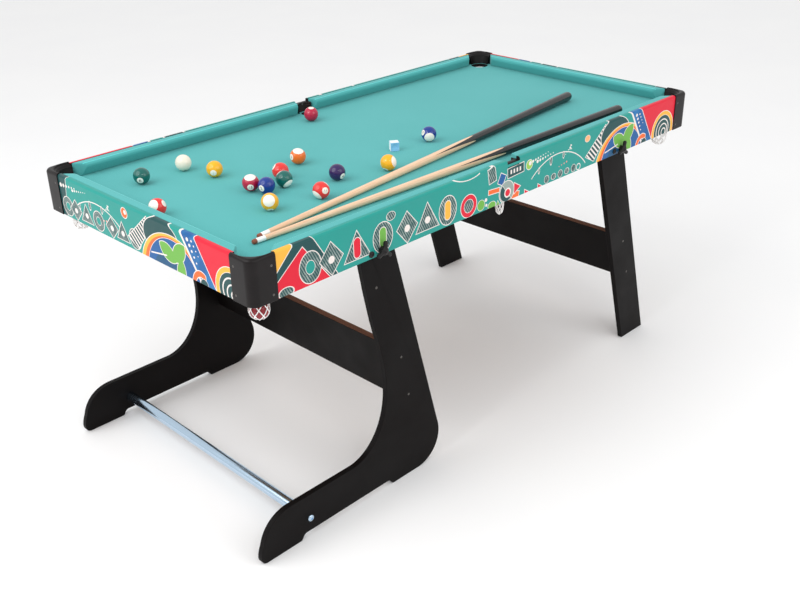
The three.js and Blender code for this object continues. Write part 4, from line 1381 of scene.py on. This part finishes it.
def cross_panel(node, body):
    """A board between two legs, black on its faces and raw along its two long edges."""
    def slot_of(f):
        return 1 if abs(f.normal.z) > 0.9 and abs(f.normal.y) < 0.1 else 0
    piece = bevelled_copy("board_" + node, node, [BLACK_BOARD, RAW_EDGE], 0.7 * MM, slot_of)
    settle(piece, body, node, slot="black_board")


cross_panel("l_leg_cross_panel", "l_leg_frame")
cross_panel("straight_leg_cross_panel", "straight_leg_frame")


def foot_tube():
    lo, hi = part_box("foot_tube")
    radius = (hi.z - lo.z) / 2
    centre = (lo + hi) / 2
    length = hi.y - lo.y
    bore = radius - 1.5 * MM
    profile = [(bore, 0.5 * MM), (bore + 0.4 * MM, 0), (radius - 0.6 * MM, 0), (radius, 0.6 * MM)]
    profile += [(radius, length * k / 12) for k in range(1, 12)]
    profile += [(radius, length - 0.6 * MM), (radius - 0.6 * MM, length), (bore + 0.4 * MM, length),
                (bore, length - 0.5 * MM)]
    ahead = Vector((0, 1, 0))
    sides = 72
    rows = []
    for r, along in profile:
        rows.append([Vector((centre.x + r * math.cos(TAU * k / sides), lo.y + along,
                             centre.z + r * math.sin(TAU * k / sides))) for k in range(sides)])
    rows.append(rows[0])
    points, faces = grid(rows, capped=False)
    piece = mesh_piece("polished_foot_tube", points, faces, [CHROME])
    settle(piece, "l_leg_frame", "foot_tube", slot="chrome_steel")


foot_tube()


# ---------- bolts, screws and knobs ----------
def tube_bolt(name, side):
    """A domed chrome head with a six-sided socket, its shank, and the plug inside the tube."""
    node = "foot_tube_bolt_" + name
    lo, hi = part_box(node)
    centre = (lo + hi) / 2
    face = high("l_leg_back").y
    tip = hi.y if side > 0 else -lo.y
    plug_end = high("foot_tube").y
    plug_start = lo.y if side > 0 else -hi.y
    plug = (hi.x - lo.x) / 2
    head = 8 * MM
    profile = [(0, plug_start), (plug - 1 * MM, plug_start), (plug, plug_start + 1 * MM), (plug, plug_end),
               (4 * MM, plug_end), (4 * MM, face + GAP), (head - 0.4 * MM, face + GAP),
               (head, face + 0.8 * MM), (head, face + 2 * MM)]
    rim = face + 2 * MM
    dome = 0.8  # the share of a quarter circle that the dome covers
    for a in quarter(6)[1:]:
        rise = math.sin(a * dome) / math.sin(dome * math.pi / 2)
        profile.append((head * math.cos(a * dome), rim + (tip - rim) * rise))
    profile += [(0, tip - 0.02 * MM)]
    origin = Vector((centre.x, 0, centre.z))
    points, faces = turned(profile, origin, (0, side, 0), 48)
    piece = mesh_piece("chrome_" + node, points, faces, [CHROME])
    socket = turned([(0, 0), (3 * MM, 0), (3 * MM, 4 * MM), (0, 4 * MM)],
                    (centre.x, side * (tip - 3 * MM), centre.z), (0, side, 0), 6)
    carve(piece, [socket])
    reshade(piece, 30)
    settle(piece, "l_leg_frame", node, slot="chrome_steel")


def pivot_bolt(name, side):
    """A round black cap outside the apron, its shank, and the nut behind the leg."""
    node = "pivot_bolt_" + name
    lo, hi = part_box(node)
    centre = (lo + hi) / 2
    tip = hi.y if side > 0 else -lo.y
    start = lo.y if side > 0 else -hi.y
    leg_inner = low("l_leg_back").y
    head = tip - 3.6 * MM
    profile = [(0, start), (5.6 * MM, start), (6.5 * MM, start + 0.8 * MM), (6.5 * MM, leg_inner - GAP),
               (4 * MM, leg_inner - GAP), (4 * MM, head), (6.7 * MM, head), (7 * MM, head + 0.4 * MM)]
    for a in quarter(6):
        profile.append((7 * MM * (1 - 0.28 * (1 - math.cos(a))) * math.cos(a * 0.72),
                        head + 1.2 * MM + (tip - head - 1.2 * MM) * math.sin(a)))
    profile += [(2.6 * MM, tip - 0.1 * MM), (2.2 * MM, tip - 0.8 * MM), (0, tip - 0.9 * MM)]
    points, faces = turned(profile, Vector((centre.x, 0, centre.z)), (0, side, 0), 40)
    piece = mesh_piece("round_" + node, points, faces, [KNOB_PLASTIC])
    settle(piece, "tabletop", node, slot="black_plastic")


KNOB_ARM, KNOB_LOBE, KNOB_HUB = 17 * MM, 5.2 * MM, 9.5 * MM
KNOB_NECK = 0.78  # width of an arm over the width of its lobe
KNOB_BLEND = 3 * MM
KNOB_TURN = 0.19  # how far the star is turned from upright, in radians
KNOB_COUNT = 96
KNOB_RINGS = {}
HALVINGS = 26


def smooth_low(a, b, k):
    """The lesser of two distances, with the corner between them rounded."""
    h = max(0.0, min(1.0, 0.5 + 0.5 * (b - a) / k))
    return b * (1 - h) + a * h - k * h * (1 - h)


def star_distance(x, y):
    """How far a point lies outside the knob's outline: a hub with three necks that end in round lobes."""
    found = math.hypot(x, y) - KNOB_HUB
    for i in range(3):
        a = i * TAU / 3
        ax, ay = math.sin(a), math.cos(a)
        along = max(0.0, min(KNOB_ARM, x * ax + y * ay))
        neck = math.hypot(x - ax * along, y - ay * along) - KNOB_LOBE * KNOB_NECK
        end = math.hypot(x - ax * KNOB_ARM, y - ay * KNOB_ARM) - KNOB_LOBE
        found = smooth_low(found, min(neck, end), KNOB_BLEND)
    return found


def star_ring(inner):
    """The knob's outline, that far inside its edge, found by halving along each ray."""
    ring_points = []
    for k in range(KNOB_COUNT):
        a = TAU * k / KNOB_COUNT
        far, near = KNOB_ARM + 2 * KNOB_LOBE, 0.0
        for _ in range(HALVINGS):
            mid = (far + near) / 2
            if star_distance(mid * math.sin(a), mid * math.cos(a)) > -inner:
                far = mid
            else:
                near = mid
        ring_points.append(Vector((far * math.sin(a), far * math.cos(a))))
    return ring_points




def knob_ring(inner):
    inner = round(inner, 6)
    if inner not in KNOB_RINGS:
        KNOB_RINGS[inner] = star_ring(inner)
    return KNOB_RINGS[inner]


def lock_knob(name, side):
    """A three-armed star knob with rounded lobes, a collar under it and a stud through the apron."""
    node = "lock_knob_" + name
    pivot = Vector(JOINTS[node + "_turn"]["pos_m"])
    face = BACK - APRON_FACE + GAP
    stud = low(node).y if side > 0 else -high(node).y

    def place(p, out):
        turned_x = p.x * math.cos(KNOB_TURN) + p.y * math.sin(KNOB_TURN)
        turned_z = p.y * math.cos(KNOB_TURN) - p.x * math.sin(KNOB_TURN)
        return Vector((pivot.x + turned_x, side * out, pivot.z - side * turned_z))

    low_face, high_face = face + 6 * MM, face + 14 * MM
    under, edge = 2 * MM, 3.6 * MM  # the round-overs of the star's two faces
    rows = []
    for a in reversed(quarter(5)):
        outline = knob_ring(under * (1 - math.cos(a)))
        rows.append([place(p, low_face + under * (1 - math.sin(a))) for p in outline])
    for a in quarter(7):
        outline = knob_ring(edge * (1 - math.cos(a)))
        rows.append([place(p, high_face - edge * (1 - math.sin(a))) for p in outline])
    flat = knob_ring(edge)
    for share, rise in ((0.85, 0.25), (0.6, 0.9), (0.42, 1.8), (0.30, 2.6), (0.16, 2.95)):
        size = 8 * MM
        blend_to = [Vector((size * math.sin(TAU * k / KNOB_COUNT), size * math.cos(TAU * k / KNOB_COUNT)))
                    for k in range(KNOB_COUNT)]
        circle = max(0.0, (1 - share) ** 0.8)
        rows.append([place((p * (1 - circle) + c * circle) * share, high_face + rise * MM)
                     for p, c in zip(flat, blend_to)])
    star = grid(rows)
    collar = turned([(0, stud), (3.6 * MM, stud), (4 * MM, stud + 0.4 * MM), (4 * MM, face), (8.2 * MM, face),
                     (8.5 * MM, face + 0.4 * MM), (8.7 * MM, face + 3 * MM), (9.2 * MM, face + 6.5 * MM),
                     (0, face + 7 * MM)], Vector((pivot.x, 0, pivot.z)), (0, side, 0), 48)
    points, faces = joined(star, collar)
    piece = mesh_piece("star_" + node, points, faces, [KNOB_PLASTIC], sharp=50)
    settle(piece, node, node, slot="black_plastic")


for side_name, side_sign in (("front", -1), ("back", 1)):
    tube_bolt(side_name, side_sign)
    for end_name in ("left", "right"):
        pivot_bolt("%s_%s" % (side_name, end_name), side_sign)
        lock_knob("%s_%s" % (side_name, end_name), side_sign)


def cap_screws():
    """Two screws on each outer face of every corner cap."""
    parts = []
    along = 50 * MM
    for _, sx, sy in CORNERS:
        corner = Vector((LEFT if sx < 0 else RIGHT, FRONT if sy < 0 else BACK, 0))
        for z in (675 * MM, 615 * MM):
            for place, outwards, turn in (((corner.x - sx * along, corner.y, z), (0, sy, 0), z * 90),
                                          ((corner.x, corner.y - sy * along, z), (sx, 0, 0), z * 70)):
                parts.append(screw_head(place, outwards, 2.4 * MM, 0.35 * MM, turn))
    points, faces = joined(*parts)
    piece = mesh_piece("cap_screws", points, faces, [SCREW_STEEL], sharp=40)
    settle(piece, "tabletop", slot="chrome_steel")


def leg_screws(name, panel, leg, body, extra=()):
    """The screws that go through each leg into the end of the cross panel."""
    bm = bmesh.new()
    bm.from_mesh(frame["nodes"][panel].data)
    top = max(bm.faces, key=lambda f: f.normal.z + (0.001 if f.calc_area() > 1e-4 else 0))
    up = top.normal.copy()
    bm.free()
    centre = middle(panel)
    parts = []
    for side in (-1, 1):
        face = low(leg + "_front").y if side < 0 else high(leg + "_back").y
        for share in (0.052, -0.057):
            spot = centre + up * share
            parts.append(screw_head((spot.x, face, spot.z), (0, side, 0), 2.8 * MM, 0.4 * MM, share * 40))
        for x, z in extra:
            parts.append(screw_head((x, face, z), (0, side, 0), 2.8 * MM, 0.4 * MM))
    points, faces = joined(*parts)
    piece = mesh_piece(name, points, faces, [SCREW_STEEL], sharp=40)
    settle(piece, body, slot="chrome_steel")


cap_screws()
leg_screws("l_leg_screws", "l_leg_cross_panel", "l_leg", "l_leg_frame",
           [(middle("pivot_bolt_front_left").x + 22 * MM, middle("pivot_bolt_front_left").z - 87 * MM)])
leg_screws("straight_leg_screws", "straight_leg_cross_panel", "straight_leg", "straight_leg_frame")


# ---------- balls ----------
BALL_COLOURS = {
    "cream": (0.92, 0.84, 0.70), "yellow": (0.95, 0.46, 0.012), "blue": (0.006, 0.036, 0.26),
    "red": (0.82, 0.035, 0.030), "purple": (0.032, 0.010, 0.095), "orange": (0.90, 0.17, 0.016),
    "green": (0.003, 0.125, 0.105), "maroon": (0.50, 0.010, 0.050), "dark_red": (0.26, 0.004, 0.010),
}
# For each ball: colour, number, and where its disc and its white cap face, to the right and up as seen.
BALLS = {
    "cue_ball": ("cream", None, None, None),
    "ball_1": ("yellow", "1", (0.0, -0.62), None),
    "ball_2": ("blue", "2", (-0.52, -0.45), None),
    "ball_3": ("red", "3", (-0.80, 0.45), None),
    "ball_4": ("purple", "4", (0.72, -0.55), None),
    "ball_6": ("green", "6", (0.02, -0.68), None),
    "ball_7": ("maroon", "7", (0.05, 0.80), None),
    "ball_9": ("yellow", "9", (0.10, -0.98), (0.0, 0.05)),
    "ball_9_spare": ("yellow", "9", (-0.35, -0.93), (0.90, 0.10)),
    "ball_10": ("blue", "10", (-0.85, 0.10), (0.05, -0.70)),
    "ball_11": ("red", "11", (0.55, -0.15), (-0.60, -0.75)),
    "ball_11_spare": ("red", "11", (0.85, 0.40), (-0.40, 0.10)),
    "ball_13": ("orange", "13", (-0.80, -0.20), (0.10, 0.75)),
    "ball_14": ("green", "14", (-0.60, 0.78), (0.62, -0.76)),
    "ball_15": ("maroon", "15", (0.10, -0.65), (0.0, 0.74)),
    "ball_potted": ("dark_red", "3", (-0.7, 0.6), None),
}
DISC_REACH = 0.38  # radius of the number disc over the ball's radius
STRIPE_EDGE = 0.66  # radius of a striped ball's white cap over the ball's radius


def facing(spot):
    """The direction that shows at that place on a ball, as the camera sees it."""
    x, y = spot
    ahead = math.sqrt(max(0.0, 1 - x * x - y * y))
    return (view_right * x + view_up * y - view_ahead * ahead).normalized()


def ball_material(name, centre, colour, disc, pole):
    g = Graph("resin_" + name, colour, 0.06)
    g.set("Specular IOR Level", 0.4)
    towards = g.vector("NORMALIZE", g.vector("SUBTRACT", g.place, tuple(centre)))
    swirl = g.noise(45, 3)
    deep = tuple(c * 0.9 for c in colour)
    paint = g.mix(g.spread(swirl, 0.35, 0.7), colour, deep)
    ivory = (0.94, 0.88, 0.80)
    if pole:
        share = g.math("ABSOLUTE", g.vector("DOT_PRODUCT", towards, tuple(pole), output=1))
        inside = g.math("GREATER_THAN", share, math.cos(math.asin(STRIPE_EDGE)))
        paint = g.mix(inside, paint, ivory)
    if disc:
        share = g.vector("DOT_PRODUCT", towards, tuple(disc), output=1)
        paint = g.mix(g.math("GREATER_THAN", share, math.cos(math.asin(DISC_REACH))), paint, ivory)
    g.set("Base Color", paint)
    g.set("Roughness", g.spread(g.noise(30, 2), 0.35, 0.7, 0.04, 0.09))
    g.set("Coat Weight", 0.3)
    g.set("Coat Roughness", 0.03)
    return g.material


def round_ball(centre, radius, rings=40, sides=72):
    rows = []
    for i in range(1, rings):
        a = math.pi * i / rings
        rows.append([centre + Vector((math.sin(a) * math.cos(TAU * k / sides),
                                      math.sin(a) * math.sin(TAU * k / sides), math.cos(a))) * radius
                     for k in range(sides)])
    return grid(rows)


def number_piece(name, text, centre, radius, disc, body):
    """The ball's number, printed on its disc and bent to the ball."""
    curve = bpy.data.curves.new(name, "FONT")
    curve.body = text
    curve.align_x = "CENTER"
    curve.align_y = "CENTER"
    curve.size = radius * (0.62 if len(text) == 1 else 0.50)
    letters = bpy.data.objects.new(name, curve)
    bpy.context.scene.collection.objects.link(letters)
    bpy.context.view_layer.update()
    mesh = bpy.data.meshes.new_from_object(letters.evaluated_get(bpy.context.evaluated_depsgraph_get()))
    bpy.data.objects.remove(letters)
    bm = bmesh.new()
    bm.from_mesh(mesh)
    bmesh.ops.remove_doubles(bm, verts=bm.verts, dist=1e-6)
    bmesh.ops.subdivide_edges(bm, edges=bm.edges, cuts=1, use_grid_fill=True)
    up = (view_up - disc * view_up.dot(disc)).normalized()
    side = up.cross(disc)
    for vert in bm.verts:
        away = (disc * radius + side * vert.co.x + up * vert.co.y).normalized()
        vert.co = centre + away * (radius + 0.03 * MM)
    made = bmesh.ops.extrude_face_region(bm, geom=bm.faces[:])
    for item in made["geom"]:
        if isinstance(item, bmesh.types.BMVert):
            item.co = centre + (item.co - centre).normalized() * (radius - 0.15 * MM)
    mesh.materials.clear()
    mesh.materials.append(NUMBER_INK)
    finish_mesh(bm, mesh, 60)
    piece = bpy.data.objects.new(name, mesh)
    bpy.context.scene.collection.objects.link(piece)
    settle(piece, body)


def ink_material():
    g = Graph("number_ink", (0.012, 0.012, 0.014), 0.12)
    g.set("Roughness", g.spread(g.noise(300, 2), 0.3, 0.7, 0.08, 0.2))
    g.set("Coat Weight", 0.4)
    return g.material


NUMBER_INK = ink_material()
BALL_RADIUS = 19.05 * MM


def all_balls():
    slots = {row["node"]: row["material_slot"] for row in frame["record"]["subparts"]}
    for node, (colour, number, disc_spot, pole_spot) in BALLS.items():
        centre = middle(node)
        disc = facing(disc_spot) if disc_spot else None
        pole = facing(pole_spot) if pole_spot else None
        points, faces = round_ball(centre, BALL_RADIUS)
        look = ball_material(node, centre, BALL_COLOURS[colour], disc, pole)
        piece = mesh_piece("polished_" + node, points, faces, [look], sharp=80)
        settle(piece, node, node, slot=slots[node])
        if number and disc:
            number_piece("number_on_" + node, number, centre, BALL_RADIUS, disc, node)


all_balls()


# ---------- cues ----------
def cue_material(name, tip, ahead, length):
    """Leather tip, white ferrule, pale ash shaft with fine grain, pointed black splices and a black butt."""
    g = Graph("cue_" + name, (0.72, 0.47, 0.25), 0.25)
    side, other = basis(ahead)
    away = g.vector("SUBTRACT", g.place, tuple(tip))
    along = g.vector("DOT_PRODUCT", away, tuple(ahead), output=1)
    x = g.vector("DOT_PRODUCT", away, tuple(side), output=1)
    y = g.vector("DOT_PRODUCT", away, tuple(other), output=1)
    made = g.node("ShaderNodeCombineXYZ")
    for socket, value in zip(made.inputs, (x, y, g.math("MULTIPLY", along, 0.035))):
        g.join(socket, value)
    grain = g.noise(420, 4, made.outputs[0])
    figure = g.noise(110, 3, made.outputs[0])
    wood = g.mix(g.spread(grain, 0.35, 0.68), (0.93, 0.64, 0.43), (0.80, 0.50, 0.31))
    wood = g.mix(g.spread(figure, 0.45, 0.75, 0, 0.35), wood, (0.66, 0.38, 0.21))
    towards_view = math.atan2(-view_ahead.dot(other), -view_ahead.dot(side))
    turn = g.math("SUBTRACT", g.math("ARCTAN2", y, x), towards_view)
    points = g.math("ABSOLUTE", g.math("SINE", g.math("MULTIPLY", turn, 2.0)))
    edge = g.math("MULTIPLY_ADD", points, 0.135 * length, 0.475 * length)
    black = (0.006, 0.006, 0.007)
    paint = g.mix(g.math("GREATER_THAN", along, edge), wood, black)
    paint = g.mix(g.math("LESS_THAN", along, 30 * MM), paint, (0.90, 0.90, 0.88))
    leather = g.mix(g.spread(g.noise(900, 3), 0.3, 0.7), (0.20, 0.045, 0.022), (0.30, 0.09, 0.045))
    paint = g.mix(g.math("LESS_THAN", along, 9 * MM), paint, leather)
    g.set("Base Color", paint)
    soft = g.math("LESS_THAN", along, 9 * MM)
    g.set("Roughness", g.math("MULTIPLY_ADD", soft, 0.6, g.spread(grain, 0.3, 0.7, 0.22, 0.32)))
    g.set("Coat Weight", 0.3)
    g.set("Coat Roughness", 0.15)
    g.bump(grain, 0.04, 0.1 * MM)
    return g.material


def cue_stick(node):
    """A cue lies from its tip, near the left end, to its butt."""
    verts = [v.co.copy() for v in frame["nodes"][node].data.vertices]
    left = [v for v in verts if v.x < low(node).x + 8 * MM]
    right = [v for v in verts if v.x > high(node).x - 10 * MM]
    tip_radius, butt_radius = 5.2 * MM, 13 * MM
    start = sum(left, Vector()) / len(left)
    end = sum(right, Vector()) / len(right)
    start.z = CLOTH_TOP + 0.5 * MM + tip_radius
    end.z = CLOTH_TOP + 0.5 * MM + butt_radius
    ahead = (end - start).normalized()
    places = [(v - start).dot(ahead) for v in verts]
    tip = start + ahead * min(places)
    length = max(places) - min(places)
    profile = [(0, 0), (2.4 * MM, 0.1 * MM), (4 * MM, 0.6 * MM), (4.9 * MM, 1.8 * MM), (tip_radius, 3.5 * MM),
               (tip_radius, 8.9 * MM), (tip_radius + 0.1 * MM, 9.1 * MM), (tip_radius + 0.15 * MM, 29.9 * MM)]
    stations = 40
    for k in range(stations + 1):
        t = k / stations
        taper = t ** 0.85
        profile.append((tip_radius + 0.15 * MM + (butt_radius - tip_radius - 0.15 * MM) * taper,
                        30.1 * MM + (length - 44 * MM) * t))
    for a in quarter(6)[1:]:
        profile.append((butt_radius - 3.4 * MM * (1 - math.cos(a)),
                        length - 13.9 * MM + 12.9 * MM * math.sin(a)))
    profile += [(6 * MM, length - 0.3 * MM), (0, length)]
    points, faces = turned(profile, tip, ahead, 48)
    piece = mesh_piece("turned_" + node, points, faces, [cue_material(node, tip, ahead, length)])
    settle(piece, node, node, slot="cue_wood")


cue_stick("cue_stick_front")
cue_stick("cue_stick_back")


# ---------- chalk ----------
def chalk():
    node = "chalk_cube"
    centre = middle(node)
    blue_way = Vector((math.sin(-0.576), -math.cos(-0.576), 0))

    def slot_of(face):
        return 0 if face.normal.dot(blue_way) > 0.35 else 1
    piece = bevelled_copy("pressed_" + node, node, [CHALK, PAPER], 0.5 * MM, slot_of, 2, 35)
    settle(piece, node, node, slot="chalk")


chalk()

# The bed board keeps its CAD shape: only its underside and the pocket edges show.
bed = frame["nodes"]["bed_panel"]
bed.data.materials.clear()
bed.data.materials.append(RAW_BOARD)
bed.data.materials.append(DARK_EDGE)
for polygon in bed.data.polygons:
    polygon.material_index = 1 if abs(polygon.normal.z) < 0.5 else 0


# ---------- studio ----------
def studio():
    size = 12
    corners = ((-size, -size), (size, -size), (size, size), (-size, size))
    points = [Vector((x, y, -0.5 * MM)) for x, y in corners]
    g = Graph("floor", (0.95, 0.95, 0.95), 0.9)
    g.set("Base Color", g.mix(g.spread(g.noise(2, 2), 0.3, 0.7), (0.96, 0.96, 0.96), (0.945, 0.945, 0.95)))
    floor = mesh_piece("floor", points, [(0, 1, 2, 3)], [g.material])
    world = bpy.data.worlds.new("studio")
    world.use_nodes = True
    world.node_tree.nodes["Background"].inputs["Color"].default_value = (1, 1, 1, 1)
    world.node_tree.nodes["Background"].inputs["Strength"].default_value = 0.88
    bpy.context.scene.world = world
    soft_light("key", (-2.4, 0.6, 2.6), (0, 0, 0.6), 3.0, 44)
    soft_light("fill", (0.6, -3.2, 2.4), (0, 0, 0.5), 2.4, 22)
    soft_light("glint", (-1.2, -2.6, 2.9), (-0.3, 0, 0.65), 0.32, 7)
    soft_light("second_glint", (-2.9, -0.6, 2.7), (-0.3, 0, 0.65), 0.28, 6)


def soft_light(name, place, target, size, power):
    data = bpy.data.lights.new(name, "AREA")
    data.shape = "DISK"
    data.size = size
    data.energy = power
    lamp = bpy.data.objects.new(name, data)
    bpy.context.scene.collection.objects.link(lamp)
    lamp.location = place
    lamp.rotation_euler = (Vector(target) - Vector(place)).to_track_quat("-Z", "Y").to_euler()


studio()
bpy.context.scene.view_settings.view_transform = "Standard"
